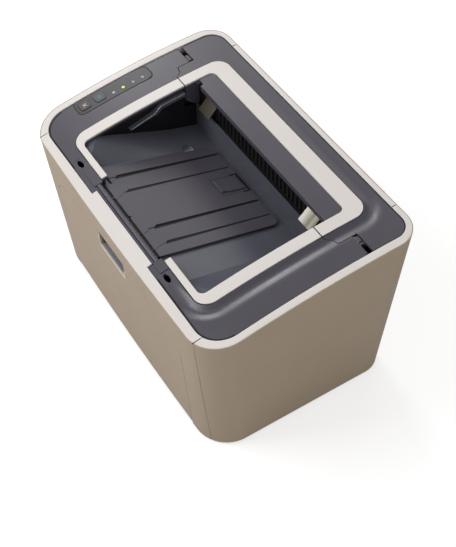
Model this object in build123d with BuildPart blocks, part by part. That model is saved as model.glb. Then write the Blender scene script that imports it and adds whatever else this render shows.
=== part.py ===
"""A compact desktop laser printer with a lift-up top door and a drop-down tray door.

Millimetres. X is to the right seen from the front, Y to the back, Z up.
The origin is on the surface the feet stand on, below the middle of the case.
"""
import os
from math import atan2, cos, degrees, hypot, pi, radians, sin, sqrt, tan

from build123d import *

os.makedirs("parts", exist_ok=True)

# Case: outer size at the top edge, wall and lean of the walls
WIDTH = 379.0
DEPTH = 243.0
SIDE = WIDTH / 2
FRONT = -DEPTH / 2
REAR = DEPTH / 2
FRONT_BOW = 3.0
CORNER_FRONT = 38.0
CORNER_REAR = 28.0
DRAFT = 10.0
BASE_Z = 3.0
TOP_FRONT = 190.0
TOP_MID = 213.0
TOP_REAR = 222.5
WALL = 2.5
FLUSH = 0.5
SEAM_FRONT_X = SIDE - 27.5
SEAM_REAR_X = SIDE - 43.5
SEAM_REAR_WALL_X = SIDE - 61.5

# Pale rim around the top edge
RIM_SIDE = 9.2
RIM_FRONT = 9.0
RIM_REAR = 6.2
RIM_THICK = 3.0
RIM_LIP = 0.8
RIM_SKIRT = 1.8
RIM_SKIRT_DEPTH = 10.0
LIP_WIDTH = 116.0
LIP_CENTRE = 3.0
LIP_DEPTH = 5.5

# Dark top panels, set a little below the rim
PANEL_DROP = 1.2
PANEL_THICK = 2.5
PANEL_GAP = 1.0

# Pale ring around the output bin
RING_X = SIDE - 52.5
RING_Y = REAR - 26.0
RING_R = 16.0
RING_SIDE = 14.0
RING_FRONT = 6.8
RING_REAR = 19.5
RING_INNER_R = 7.0
RING_THICK = 2.2
RING_DROP = 0.4
RING_BREAK = 66.0
RING_GAP = 0.6
SEAT_THICK = 2.5
SEAT_WIDTH = 3.0

# Top door hinge and the seam between door and fixed rear panel
HINGE_Y = REAR - 55.5
HINGE_DROP = 6.0
HINGE_PIN_R = 2.0
HINGE_EYE_R = 4.4
HINGE_EYE_X = SIDE - 30.5
HINGE_EYE_W = 7.0
HINGE_LUG_R = 3.5
HINGE_LUG_X = (SIDE - 39.5, SIDE - 37.3)
HINGE_LUG_OUT_X = (SIDE - 26.3, SIDE - 23.5)
BIN_SWEEP_R = 31.3
HINGE_WALL_T = 1.4
HINGE_WALL_STEP = 0.2
HINGE_WALL_LOW = 184.5
SEAM_Y = REAR - 82.5
SEAM_GAP = 0.8
TONGUE_X = SIDE - 36.5
TONGUE_MID_X = SIDE - 43.5
TONGUE_MID_Y = REAR - 75.5
TONGUE_Y = REAR - 72.0
SLOT_LOW_Y = REAR - 59.0
SLOT_HIGH_Y = REAR - 52.9
RUN_CLEAR = 0.05

# Output bin
BIN_X = SIDE - 64.5
BIN_WALL = 2.0
BIN_FRONT_Y = FRONT + 30.5
BIN_REAR_Y = REAR - 68.5
BIN_FLOOR_FRONT = 185.5
BIN_FLOOR_REAR = 148.924
BIN_FLAT_X = SIDE - 99.5
BIN_BASE = 2.5
BIN_BACK_TOP = 184.0
SHELF_DEPTH = 6.0
RAMP_KNEE_Y = REAR - 103.5
RAMP_KNEE = 3.886
RAMP_RISE = 0.39
RAMP_REAR = 3.6
CHANNEL_Y = FRONT + 17.1
CHANNEL_WALL = 1.6
CHANNEL_FLOOR = 185.5

# Fold-out flap in the bin and its paper stop
FLAP_PIN_Y = FRONT + 20.5
FLAP_PIN_DROP = 3.2
FLAP_PIN_R = 1.5
FLAP_BARREL_R = 2.8
FLAP_BARREL_X = 61.0
FLAP_LEFT = 105.5 - SIDE
FLAP_RIGHT = 54.0
FLAP_REAR_Y = REAR - 73.0
FLAP_THICK = 2.5
FLAP_GAP = 0.6
FLAP_SLOTS = 6
FLAP_SLOT_W = 15.0
FLAP_SLOT_D = 2.2
FLAP_STEP = 0.7
FLAP_WIDE_Y = FRONT + 35.5
KNUCKLE_LEFT = 105.5 - SIDE
KNUCKLE_RIGHT = 76.0
KNUCKLE_Y = FRONT + 25.0
KNUCKLE_DROP = 0.3
KNUCKLE_LOW = 184.5
KNUCKLE_GAP = 0.4
RECESS_LEFT = (KNUCKLE_LEFT - 23, KNUCKLE_LEFT - 8)
RECESS_RIGHT = (KNUCKLE_RIGHT + 1, KNUCKLE_RIGHT + 16)
RECESS_Y = (FRONT + 14.5, FRONT + 22.0)
STEP_LEFT = (-70.5, -46.0)
STEP_RIGHT = (13.6, 37.0)
STOP_X = -18.0
STOP_W = 27.0
STOP_FRONT_Y = REAR - 107.5
STOP_PIN_Y = REAR - 76.3
STOP_PIN_R = 0.8
STOP_THICK = 1.6
STOP_GAP = 0.4

# Delivery ledge and exit
LEDGE_Y = REAR - 68.5
LEDGE_DROP = 1.5
LEDGE_THICK = 2.6
LEDGE_GAP = 0.6
LEDGE_LIP = 2.5
LEDGE_LIP_DROP = 8.0
LEDGE_NOTCH_X = 76.5 - SIDE
LEDGE_NOTCH_Y = REAR - 64.5
COMB_Y = REAR - 64.5
COMB_THICK = 3.0
COMB_LOW = 176.0
COMB_HIGH = 204.0
COMB_TEETH = 32
COMB_TOOTH = 1.3
COMB_TOOTH_D = 1.6
COMB_SLOT = (182.5, 187.5)
COMB_SLOT_X = SIDE - 71.5
PLATE_X = SIDE - 92.0
PLATE_W = 21.0
PLATE_LOW_Y = REAR - 75.0
PLATE_LOW_Z = 191.0
PLATE_HIGH_Y = REAR - 61.5
PLATE_HIGH_Z = 205.0
PLATE_THICK = 1.2

# Control panel on the left of the top door
CONTROL_X = 21.0 - SIDE
CONTROL_Y = -26.0
CONTROL_W = 21.0
CONTROL_L = 92.0
CONTROL_R = 6.0
CONTROL_THICK = 1.6
CONTROL_PROUD = 0.4
BUTTON_W = 12.6
BUTTON_R = 3.4
BUTTON_CANCEL_Y = -61.9
BUTTON_GO_Y = -43.2
BUTTON_PROUD = 0.6
BUTTON_GAP = 0.35
BUTTON_DEPTH = 4.0
LIGHT_X = 25.0 - SIDE
LIGHT_YS = (-27.6, -15.5, -2.9, 9.1)
LIGHT_R = 1.6
LIGHT_BAR = 3.2
LIGHT_BAR_T = 0.5
BUTTON_X = 20.5 - SIDE

# Tray door in the front
TRAY_DOOR_X = SIDE - 56.5
TRAY_DOOR_TOP = 168.0
TRAY_DOOR_BOTTOM = 6.0
TRAY_DOOR_R = 14.0
TRAY_DOOR_ARCH = 24.0
TRAY_DOOR_RIM = 8.0
TRAY_DOOR_FLANGE = 2.0
DOOR_GAP = 0.6
TRAY_PIN_Y = FRONT + 15.5
TRAY_PIN_Z = 13.5
TRAY_PIN_R = 2.5
TRAY_EYE_R = 5.5
TRAY_EYE_W = 7.0
TRAY_EYE_X = SIDE - 61.3
POCKET_X = 26.0
POCKET_LOW = 148.0
POCKET_DEPTH = 16.0
POCKET_WALL = 1.6
POCKET_GAP = 0.3

# Inner frame plates, base pan and feet
FRAME_X = SIDE - 55.5
FRAME_T = 2.0
FRAME_FRONT_Y = FRONT + 11.5
FRAME_REAR_Y = REAR - 11.5
FRAME_STEP_Y = REAR - 75.5
FRAME_DROP = 12.0
PAN_LOW = 4.0
PAN_FLOOR = 3.0
PAN_WALL = 2.0
PAN_HIGH = 16.0
PAN_FRONT_Y = FRONT + 28.1
DECK_Y = FRONT + 65.5
DECK_TOP = 18.0
DECK_THICK = 2.0
DECK_RIBS = 5
FOOT_X = SIDE - 39.5
FOOT_Y = REAR - 35.5
FOOT_R = 9.0

# Paper path, in side view
PICKUP_Y = REAR - 141.5
PICKUP_Z = 54.0
PICKUP_R = 13.0
PICKUP_W = 44.0
SHAFT_R = 3.0
DRUM_Y = REAR - 91.5
DRUM_Z = 68.0
DRUM_R = 12.0
DRUM_HUB_X = SIDE - 63.5
HUB_R = 5.0
TRANSFER_R = 7.5
TRANSFER_Y = REAR - 89.5
ROLLER_GAP = 0.5
FUSER_Y = REAR - 29.5
FUSER_Z = 50.0
FUSER_R = 10.0
FUSER_ROOM = 21.0
FUSER_L = 2 * (FRAME_X - FUSER_ROOM)
FUSER_HALF_Y = 14.0
FUSER_LOW = 38.0
FUSER_HIGH = 86.0
DELIVERY_Y = REAR - 55.5
DELIVERY_Z = 190.0
DELIVERY_R = 5.0
DELIVERY_TYRES = 4
DELIVERY_PITCH = 56.0
DELIVERY_TYRE_W = 14.0
CHUTE_Y = REAR - 14.0
CHUTE_T = 2.0
CHUTE_LOW = 50.0
CHUTE_TURN_Z = 165.0
CHUTE_R = 28.0
PAD_W = 40.0
PAD_TOP = 42.5
PAD_T = 3.5
PAD_Y = (REAR - 133.5, REAR - 117.5)
LIFT_Y = FRONT + 69.5
LIFT_L = PAD_Y[0] - LIFT_Y - 6
LIFT_Z = 21.0
LIFT_W = 2 * (FRAME_X - 34)
LIFT_T = 1.5
LIFT_PIN_R = 1.3

# Toner cartridge and laser scanner
CARTRIDGE_X = SIDE - 67.5
CARTRIDGE_FRONT_Y = REAR - 185.5
CARTRIDGE_REAR_Y = REAR - 75.5
CARTRIDGE_LOW = 84.0
CARTRIDGE_HIGH = 116.0
CARTRIDGE_WALL = 2.5
CARTRIDGE_PIN_R = 5.0
CARTRIDGE_END = 4.0
DRUM_END = 7.0
DRUM_L = 2 * (CARTRIDGE_X - DRUM_END)
CARTRIDGE_PINS = ((REAR - 131.5, 96.0), (REAR - 87.5, 100.0))
HANDLE_X = 40.0
HANDLE_REACH = 14.0
HANDLE_T = 5.0
HANDLE_Z = (98.0, 104.0)
SCANNER_Y = REAR - 79.5
SCANNER_L = 62.0
SCANNER_X = SIDE - 84.5
SCANNER_LOW = 121.0
SCANNER_HIGH = 142.0
SCANNER_PLATE = 2.0
SCANNER_WALL = 2.0
MIRROR_X = 28.0
MIRROR_R = 11.0
MIRROR_H = 5.0

# Drive train on the right frame plate
MODULE = 1.0
GEAR_X = SIDE - 52.0
GEAR_W = 9.0
GEAR_GAP = 0.12
BACKLASH = 0.14
PINION_TEETH = 14
IDLER_A_TEETH = 50
DRUM_TEETH = 36
IDLER_B_TEETH = 40
FUSER_TEETH = 30
IDLER_A_ANGLE = 145.0
PINION_ANGLE = 155.0
AXLE_R = 3.0
BELT_X = SIDE - 41.0
BELT_W = 5.0
BELT_T = 1.2
BELT_GAP = 0.3
FUSER_PULLEY_R = 9.0
DELIVERY_PULLEY_R = 7.0
PLATE_GEAR_X = SIDE - 34.0
MOTOR_PLATE_T = 1.5
SHAFT_FAR = SIDE - 29.5
PLATE_CORNERS = [(-86, 64), (-86, 130), (-2, 130), (38, 116), (46, 84), (42, 62), (0, 54)]
PLATE_POSTS = ((-80.0, 72.0), (-80.0, 124.0), (-10.0, 124.0), (30.0, 110.0))
MOTOR_R = 19.0
MOTOR_SHAFT_R = 2.0
MOTOR_L = 20.0

# Paper guides in the tray
GUIDE_X = SIDE - 81.5
GUIDE_T = 2.0
GUIDE_FRONT_Y = FRONT + 31.5
GUIDE_REAR_Y = FRONT + 61.5
GUIDE_H = 26.0
GUIDE_FOOT = 16.0
GUIDE_GAP = 0.3
GUIDE_TRAVEL = 55.0
GUIDE_SLOT_Y = FRONT + 46.5
GUIDE_SLOT_W = 2.0

# Boards, sockets and switch
BOARD_T = 1.6
CONTROLLER_X = SIDE - 39.5
CONTROLLER_Y = REAR - 79.5
CONTROLLER_Z = 100.0
CONTROLLER_L = 120.0
CONTROLLER_H = 90.0
POWER_Y = -10.0
POWER_Z = 48.0
POWER_L = 130.0
POWER_H = 60.0
POWER_X = SIDE - 25.5
CONTROLLER_POSTS = ((-54.0, 61.0), (-54.0, 139.0), (54.0, 61.0), (54.0, 139.0))
CONTROLLER_CHIPS = ((-22.0, 110.0, 28.0, 28.0, 3.0), (18.0, 120.0, 20.0, 14.0, 2.0), (18.0, 90.0, 24.0, 18.0, 2.5))
POWER_POSTS = ((-68.0, 24.0), (-68.0, 72.0), (48.0, 24.0))
TRANSFORMER_Y = (-14.0, 14.0)
TRANSFORMER_Z = (22.0, 46.0)
CAPACITORS = ((-40.0, 34.0), (-40.0, 58.0))
CAPACITOR_R = 9.0
INLET_X = 84.5 - SIDE
INLET_Z = 27.0
INLET_W = 30.0
INLET_H = 21.0
INLET_DEPTH = 18.0
SWITCH_X = 119.5 - SIDE
SWITCH_W = 21.0
SWITCH_H = 15.0
SWITCH_DEPTH = 12.0
SWITCH_PIVOT_R = 2.0
USB_X = 46.3 - SIDE
USB_Z = 78.0
USB_W = 12.0
USB_H = 11.0
USB_DEPTH = 16.0
VENT_X = SIDE - 129.5
VENT_Z = 120.0
VENT_COUNT = 14
VENT_PITCH = 9.0
VENT_L = 60.0
SCREW_X = (-50.0, 10.0, 60.0, SEAM_REAR_WALL_X - 20)
SCREW_Z = 11.0
SCREW_R = 1.5
SCREW_HEAD_R = 3.0
SCREW_SINK = 1.5
SCREW_L = 8.0


# Crowned top: one circular arc in side view through the three top heights


def arc_through(low, middle, high):
    """Centre (y, z) and radius of the circle through three points of the side view."""
    (ay, az), (by, bz), (cy, cz) = low, middle, high
    d = 2 * (ay * (bz - cz) + by * (cz - az) + cy * (az - bz))
    a2, b2, c2 = ay**2 + az**2, by**2 + bz**2, cy**2 + cz**2
    y = (a2 * (bz - cz) + b2 * (cz - az) + c2 * (az - bz)) / d
    z = (a2 * (cy - by) + b2 * (ay - cy) + c2 * (by - ay)) / d
    return y, z, hypot(ay - y, az - z)


CROWN_Y, CROWN_Z, CROWN_R = arc_through((FRONT, TOP_FRONT), (0, TOP_MID), (REAR, TOP_REAR))


def top_z(y):
    """Height of the crowned top at depth y."""
    return CROWN_Z + sqrt(CROWN_R**2 - (y - CROWN_Y) ** 2)


HINGE_Z = top_z(HINGE_Y) - HINGE_DROP
FLAP_PIN_Z = top_z(FLAP_PIN_Y) - FLAP_PIN_DROP
HIGH = TOP_REAR + 20


def front_y(z):
    """Front wall's outer face at height z, where its bow starts."""
    return FRONT + DRAFT * (TOP_FRONT - z) / (TOP_FRONT - BASE_Z)


def rear_y(z):
    """Rear wall's outer face at height z."""
    return REAR - DRAFT * (TOP_REAR - z) / (TOP_REAR - BASE_Z)


def side_x(z):
    """Side wall's outer face at height z."""
    return SIDE - DRAFT * (TOP_MID - z) / (TOP_MID - BASE_Z)


def crown_slab(high_drop, low_drop, y_low=-DEPTH, y_high=DEPTH, x_low=-WIDTH, x_high=WIDTH):
    """A slab that follows the crowned top, between two drops below it."""
    y_mid = (y_low + y_high) / 2
    upper = [(y, top_z(y) - high_drop) for y in (y_low, y_mid, y_high)]
    lower = [(y, top_z(y) - low_drop) for y in (y_high, y_mid, y_low)]
    with BuildPart() as slab:
        with BuildSketch(Plane.YZ.offset(x_low)):
            with BuildLine():
                ThreePointArc(*upper)
                Line(upper[-1], lower[0])
                ThreePointArc(*lower)
                Line(lower[-1], upper[0])
            make_face()
        extrude(amount=x_high - x_low)
    return slab.part


def outline(x_half, y_front, y_rear, r_front, r_rear, bow=0.0):
    """A rounded rectangle with its own front and rear corner radii and a bowed front."""
    left, right = (-x_half, y_front), (x_half, y_front)
    with BuildSketch() as plan:
        with BuildLine():
            if bow:
                ThreePointArc(left, (0, y_front - bow), right)
            else:
                Line(left, right)
            Polyline(right, (x_half, y_rear), (-x_half, y_rear), left)
        make_face()
        fillet(plan.vertices().sort_by(Axis.Y)[:2], r_front)
        fillet(plan.vertices().sort_by(Axis.Y)[-2:], r_rear)
    return plan.sketch


def body_block(inset, z_low=BASE_Z, z_high=HIGH):
    """The case as a solid with leaning walls, its sides set in by inset."""
    with BuildPart() as block_part:
        for z in (z_low, z_high):
            with BuildSketch(Plane.XY.offset(z)):
                add(outline(side_x(z) - inset, front_y(z) + inset, rear_y(z) - inset,
                            CORNER_FRONT - inset, CORNER_REAR - inset, FRONT_BOW))
        loft(ruled=True)
    return block_part.part


def upright(plan, z_low=0.0, z_high=HIGH):
    """A plan outline made into an upright prism."""
    with BuildPart() as prism:
        with BuildSketch(Plane.XY.offset(z_low)):
            add(plan)
        extrude(amount=z_high - z_low)
    return prism.part


def side_prism(points, x_low, x_high):
    """A polygon of the side view (y, z) made into a prism along X."""
    with BuildPart() as prism:
        with BuildSketch(Plane.YZ.offset(x_low)):
            with BuildLine():
                Polyline(*points, close=True)
            make_face()
        extrude(amount=x_high - x_low)
    return prism.part


def block(x_low, x_high, y_low, y_high, z_low, z_high, mode=Mode.ADD):
    """A block between two corners, in the current part."""
    with Locations(((x_low + x_high) / 2, (y_low + y_high) / 2, (z_low + z_high) / 2)):
        Box(x_high - x_low, y_high - y_low, z_high - z_low, mode=mode)


def rod(x_low, x_high, radius, y, z, mode=Mode.ADD):
    """A round bar along X, in the current part."""
    with Locations(Location(((x_low + x_high) / 2, y, z), (0, 90, 0))):
        Cylinder(radius, x_high - x_low, mode=mode)


def bolt(radius, x, z, y_low, y_high, mode=Mode.ADD):
    """A round bar along Y, in the current part."""
    with Locations(Location((x, (y_low + y_high) / 2, z), (90, 0, 0))):
        Cylinder(radius, y_high - y_low, mode=mode)


def post(radius, x, y, z_low, z_high, mode=Mode.ADD):
    """A round bar along Z, in the current part."""
    with Locations((x, y, (z_low + z_high) / 2)):
        Cylinder(radius, z_high - z_low, mode=mode)


def both_sides(function, x_low, x_high, *others, **words):
    """Make a block or rod on the right at x_low to x_high, and its mirror image on the left."""
    function(x_low, x_high, *others, **words)
    function(-x_high, -x_low, *others, **words)


# Case: a leaning wall with a rabbet for the rim, cut into covers at its seams
RIM_IN_X = SIDE - RIM_SIDE
RIM_IN_FRONT = FRONT + RIM_FRONT
RIM_IN_REAR = REAR - RIM_REAR


def rim_inner(gap=0.0):
    """Plan of the rim's inner edge, set in by gap."""
    return outline(RIM_IN_X - gap, RIM_IN_FRONT + gap, RIM_IN_REAR - gap,
                   CORNER_FRONT - RIM_SIDE - gap, CORNER_REAR - RIM_SIDE - gap)


def sector(points, z_low=0.0, z_high=HIGH):
    """An upright prism over a polygon of the plan."""
    with BuildPart() as prism:
        with BuildSketch(Plane.XY.offset(z_low)):
            with BuildLine():
                Polyline(*points, close=True)
            make_face()
        extrude(amount=z_high - z_low)
    return prism.part


def side_sector(side, front_x, rear_x):
    """The region of one side cover, which wraps the front and rear corners."""
    points = [(front_x, -DEPTH), (WIDTH, -DEPTH), (WIDTH, DEPTH), (rear_x, DEPTH), (rear_x, 0), (front_x, 0)]
    return sector([(side * x, y) for x, y in points])


def middle_sector(half_x, y_low, y_high):
    """The region of a cover between the two side covers."""
    return sector([(-half_x, y_low), (half_x, y_low), (half_x, y_high), (-half_x, y_high)])


OUTER = body_block(0)
INNER = body_block(WALL)
LIP_BLOCK = body_block(RIM_LIP)
UNDER_TOP = crown_slab(0, HIGH)
HALF_GAP = FLUSH / 2

with BuildPart() as rabbet:
    add(LIP_BLOCK)
    add(crown_slab(-RIM_THICK, RIM_THICK), mode=Mode.INTERSECT)

with BuildPart() as case_wall:
    add(OUTER)
    add(INNER, mode=Mode.SUBTRACT)
    add(UNDER_TOP, mode=Mode.INTERSECT)
    add(rabbet.part, mode=Mode.SUBTRACT)

for side, name in ((-1, "side_cover_left"), (1, "side_cover_right")):
    with BuildPart() as side_cover:
        add(case_wall.part)
        add(side_sector(side, SEAM_FRONT_X + HALF_GAP, SEAM_REAR_WALL_X + HALF_GAP), mode=Mode.INTERSECT)
        if side < 0:
            block(USB_X - USB_W / 2 - HALF_GAP, USB_X + USB_W / 2 + HALF_GAP, 0, DEPTH,
                  USB_Z - USB_H / 2 - HALF_GAP, USB_Z + USB_H / 2 + HALF_GAP, mode=Mode.SUBTRACT)
    side_cover.part.label = name
    export_step(side_cover.part, f"parts/{name}.step")


def tray_door_prism(grow=0.0, z_low=TRAY_DOOR_BOTTOM):
    """A prism along Y over the tray door's outline with its arched top, grown by grow."""
    x_half, z_high = TRAY_DOOR_X + grow, TRAY_DOOR_TOP + grow
    left, right = (-x_half, z_high - TRAY_DOOR_ARCH), (x_half, z_high - TRAY_DOOR_ARCH)
    with BuildPart() as prism:
        with BuildSketch(Plane.XZ) as face:
            with BuildLine():
                Polyline(left, (-x_half, z_low), (x_half, z_low), right)
                ThreePointArc(right, (0, z_high), left)
            make_face()
            fillet(face.vertices().sort_by(Axis.Y)[-2:], TRAY_DOOR_R + grow)
        extrude(amount=DEPTH)
    return prism.part


with BuildPart() as front_cover:
    add(case_wall.part)
    add(middle_sector(SEAM_FRONT_X - HALF_GAP, -DEPTH, 0), mode=Mode.INTERSECT)
    add(tray_door_prism(DOOR_GAP, 0), mode=Mode.SUBTRACT)
front_cover.part.label = "front_cover"
export_step(front_cover.part, "parts/front_cover.step")

with BuildPart() as rear_cover:
    add(side_prism([(rear_y(z) - inset, z) for z, inset in ((BASE_Z, WALL), (BASE_Z, 0), (HIGH, 0), (HIGH, WALL))],
                   -SEAM_REAR_WALL_X + HALF_GAP, SEAM_REAR_WALL_X - HALF_GAP))
    for x in SCREW_X:
        bolt(SCREW_R, x, SCREW_Z, 0, DEPTH, mode=Mode.SUBTRACT)
        bolt(SCREW_HEAD_R + RUN_CLEAR, x, SCREW_Z, rear_y(SCREW_Z) - SCREW_SINK, DEPTH, mode=Mode.SUBTRACT)
    block(INLET_X - INLET_W / 2, INLET_X + INLET_W / 2, 0, DEPTH,
          INLET_Z - INLET_H / 2, INLET_Z + INLET_H / 2, mode=Mode.SUBTRACT)
    block(SWITCH_X - SWITCH_W / 2, SWITCH_X + SWITCH_W / 2, 0, DEPTH,
          INLET_Z - SWITCH_H / 2, INLET_Z + SWITCH_H / 2, mode=Mode.SUBTRACT)
    with Locations((VENT_X, REAR, VENT_Z)):
        with GridLocations(VENT_PITCH, 1, VENT_COUNT, 1):
            Box(VENT_PITCH / 3, DEPTH / 4, VENT_L, mode=Mode.SUBTRACT)
    add(UNDER_TOP, mode=Mode.INTERSECT)
    add(rabbet.part, mode=Mode.SUBTRACT)
rear_cover.part.label = "rear_cover"
export_step(rear_cover.part, "parts/rear_cover.step")

# Rim: a pale cap in the rabbet with a skirt below its inner edge
def lip_block(gap=0.0):
    """The finger lip's region in the middle of the front rim, grown by gap."""
    with BuildPart() as region:
        block(LIP_CENTRE - LIP_WIDTH / 2 - gap, LIP_CENTRE + LIP_WIDTH / 2 + gap,
              FRONT, RIM_IN_FRONT + LIP_DEPTH + gap, 0, HIGH)
    return region.part


with BuildPart() as rim_hole:
    add(upright(rim_inner()))
    add(lip_block(), mode=Mode.SUBTRACT)

with BuildPart() as rim_skirt:
    add(upright(rim_inner(-RIM_SKIRT)))
    add(upright(rim_inner()), mode=Mode.SUBTRACT)
    add(crown_slab(RIM_THICK, RIM_SKIRT_DEPTH), mode=Mode.INTERSECT)

with BuildPart() as rim_whole:
    add(LIP_BLOCK)
    add(crown_slab(0, RIM_THICK), mode=Mode.INTERSECT)
    add(rim_hole.part, mode=Mode.SUBTRACT)
    add(rim_skirt.part)

for side, name in ((-1, "rim_left"), (1, "rim_right")):
    with BuildPart() as rim_side:
        add(rim_whole.part)
        add(side_sector(side, SEAM_FRONT_X + HALF_GAP, SEAM_REAR_X + HALF_GAP), mode=Mode.INTERSECT)
    rim_side.part.label = name
    export_step(rim_side.part, f"parts/{name}.step")

with BuildPart() as rim_front:
    add(rim_whole.part)
    add(middle_sector(SEAM_FRONT_X - HALF_GAP, -DEPTH, 0), mode=Mode.INTERSECT)
rim_front.part.label = "rim_front"
export_step(rim_front.part, "parts/rim_front.step")

with BuildPart() as rim_rear:
    add(rim_whole.part)
    add(middle_sector(SEAM_REAR_X - HALF_GAP, 0, DEPTH), mode=Mode.INTERSECT)
rim_rear.part.label = "rim_rear"
export_step(rim_rear.part, "parts/rim_rear.step")


# Top door and fixed rear panel: one crowned top split at a stepped seam
def ring_outer(gap=0.0):
    """Plan of the ring's outer edge, grown by gap."""
    return outline(RING_X + gap, -RING_Y - gap, RING_Y + gap, RING_R + gap, RING_R + gap)


def ring_inner():
    """Plan of the ring's inner edge."""
    return outline(RING_X - RING_SIDE, -RING_Y + RING_FRONT, RING_Y - RING_REAR, RING_INNER_R, RING_INNER_R)


def top_zone(shift, slot_y, far_y):
    """The door's or the rear panel's share of the plan, up to the stepped seam."""
    with BuildPart() as zone:
        with BuildSketch():
            with BuildLine():
                for side in (1, -1):
                    start = (side * RING_X, SEAM_Y + shift)
                    knee = (side * TONGUE_MID_X, TONGUE_MID_Y + shift)
                    end = (side * (TONGUE_X - shift), TONGUE_Y + shift)
                    Spline(start, knee, end, tangents=[(side, 0), (0, 1)])
                    Polyline(end, (end[0], slot_y), (side * WIDTH, slot_y), (side * WIDTH, far_y))
                Line((-RING_X, SEAM_Y + shift), (RING_X, SEAM_Y + shift))
                Line((-WIDTH, far_y), (WIDTH, far_y))
            make_face()
        extrude(amount=HIGH)
    return zone.part


DOOR_ZONE = top_zone(-SEAM_GAP / 2, SLOT_LOW_Y, -DEPTH)
REAR_ZONE = top_zone(SEAM_GAP / 2, SLOT_HIGH_Y, DEPTH)
PANEL_LOW = PANEL_DROP + PANEL_THICK
SEAT_TOP = RING_DROP + RING_THICK
SEAT_LOW = SEAT_TOP + SEAT_THICK
BIN_Z_FRONT = CHANNEL_FLOOR - BIN_BASE

with BuildPart() as top_panel:
    add(crown_slab(PANEL_DROP, PANEL_LOW))
    add(upright(rim_inner(PANEL_GAP)), mode=Mode.INTERSECT)
    add(lip_block(PANEL_GAP), mode=Mode.SUBTRACT)
    add(upright(ring_outer(RING_GAP)), mode=Mode.SUBTRACT)

with BuildPart() as ring_seat:
    add(crown_slab(SEAT_TOP, SEAT_LOW))
    add(upright(ring_outer(SEAT_WIDTH)), mode=Mode.INTERSECT)
    add(upright(ring_inner()), mode=Mode.SUBTRACT)

with BuildPart() as ring_whole:
    add(crown_slab(RING_DROP, SEAT_TOP))
    add(upright(ring_outer()), mode=Mode.INTERSECT)
    add(upright(ring_inner()), mode=Mode.SUBTRACT)

CONTROL_SKIN = PANEL_DROP - CONTROL_PROUD
CONTROL_LOW = CONTROL_SKIN + CONTROL_THICK


def control_plan(grow=0.0):
    """Plan of the control panel, grown by grow."""
    with BuildSketch() as plan:
        with Locations((CONTROL_X, CONTROL_Y)):
            Rectangle(CONTROL_W + 2 * grow, CONTROL_L + 2 * grow)
        fillet(plan.vertices().sort_by(Axis.X)[-2:], CONTROL_R + grow)
        fillet(plan.vertices().sort_by(Axis.X)[:2], CONTROL_R / 2)
    return plan.sketch


def button_plan(y, grow=0.0):
    """Plan of a button at depth y, grown by grow."""
    with BuildSketch() as plan:
        with Locations((BUTTON_X, y)):
            RectangleRounded(BUTTON_W + 2 * grow, BUTTON_W + 2 * grow, BUTTON_R + grow)
    return plan.sketch


def hinge_web():
    """The web that carries a hinge eye, in side view (y, z)."""
    return [(HINGE_Y, HINGE_Z - HINGE_EYE_R), (HINGE_Y - 16, HINGE_Z - HINGE_EYE_R / 2),
            (HINGE_Y - 16, top_z(HINGE_Y - 16) - PANEL_DROP - PANEL_THICK / 2),
            (SLOT_LOW_Y, top_z(SLOT_LOW_Y) - PANEL_LOW + 0.3), (HINGE_Y, HINGE_Z + HINGE_EYE_R)]


EYE_LOW_X = HINGE_EYE_X - HINGE_EYE_W / 2
EYE_HIGH_X = HINGE_EYE_X + HINGE_EYE_W / 2
STRIP_Y = CHANNEL_Y - CHANNEL_WALL

# Front wall of the flap's channel, leaning with the door's swing
with BuildPart() as channel_wall:
    add(side_prism([(STRIP_Y, top_z(STRIP_Y)), (CHANNEL_Y, top_z(CHANNEL_Y)),
                    (CHANNEL_Y, BIN_Z_FRONT), (STRIP_Y + CHANNEL_WALL / 2, BIN_Z_FRONT)],
                   -RING_BREAK, RING_BREAK))
    add(crown_slab(PANEL_DROP, HIGH), mode=Mode.INTERSECT)

# Knuckles that carry the flap's stub pins
with BuildPart() as knuckles:
    block(KNUCKLE_LEFT, -FLAP_BARREL_X - KNUCKLE_GAP, STRIP_Y, KNUCKLE_Y, KNUCKLE_LOW, HIGH)
    block(FLAP_BARREL_X + KNUCKLE_GAP, KNUCKLE_RIGHT, STRIP_Y, KNUCKLE_Y, KNUCKLE_LOW, HIGH)
    add(crown_slab(KNUCKLE_DROP, HIGH), mode=Mode.INTERSECT)

# Recess for the control panel, with holes for the buttons
with BuildPart() as control_recess:
    add(upright(control_plan(BUTTON_GAP)))
    add(crown_slab(0, CONTROL_LOW), mode=Mode.INTERSECT)
    for y in (BUTTON_CANCEL_Y, BUTTON_GO_Y):
        add(upright(button_plan(y, BUTTON_GAP)))

with BuildPart() as door_top_cover:
    add(top_panel.part)
    add(ring_seat.part)
    block(-RING_BREAK, RING_BREAK, CHANNEL_Y, -RING_Y + RING_FRONT + SEAT_WIDTH, 0, HIGH, mode=Mode.SUBTRACT)
    add(DOOR_ZONE, mode=Mode.INTERSECT)
    add(channel_wall.part)
    add(knuckles.part)
    both_sides(rod, FLAP_BARREL_X, FLAP_BARREL_X + 4, FLAP_PIN_R + RUN_CLEAR, FLAP_PIN_Y, FLAP_PIN_Z,
               mode=Mode.SUBTRACT)
    for x_low, x_high in (RECESS_LEFT, RECESS_RIGHT):
        block(x_low, x_high, *RECESS_Y, 0, HIGH, mode=Mode.SUBTRACT)
    # Hinge eyes below the slot
    for side in (-1, 1):
        x_low, x_high = sorted((side * EYE_LOW_X, side * EYE_HIGH_X))
        add(side_prism(hinge_web(), x_low, x_high))
        rod(x_low, x_high, HINGE_EYE_R, HINGE_Y, HINGE_Z)
        rod(x_low, x_high, HINGE_PIN_R + RUN_CLEAR, HINGE_Y, HINGE_Z, mode=Mode.SUBTRACT)
    add(control_recess.part, mode=Mode.SUBTRACT)
door_top_cover.part.label = "door_top_cover"
export_step(door_top_cover.part, "parts/door_top_cover.step")

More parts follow.
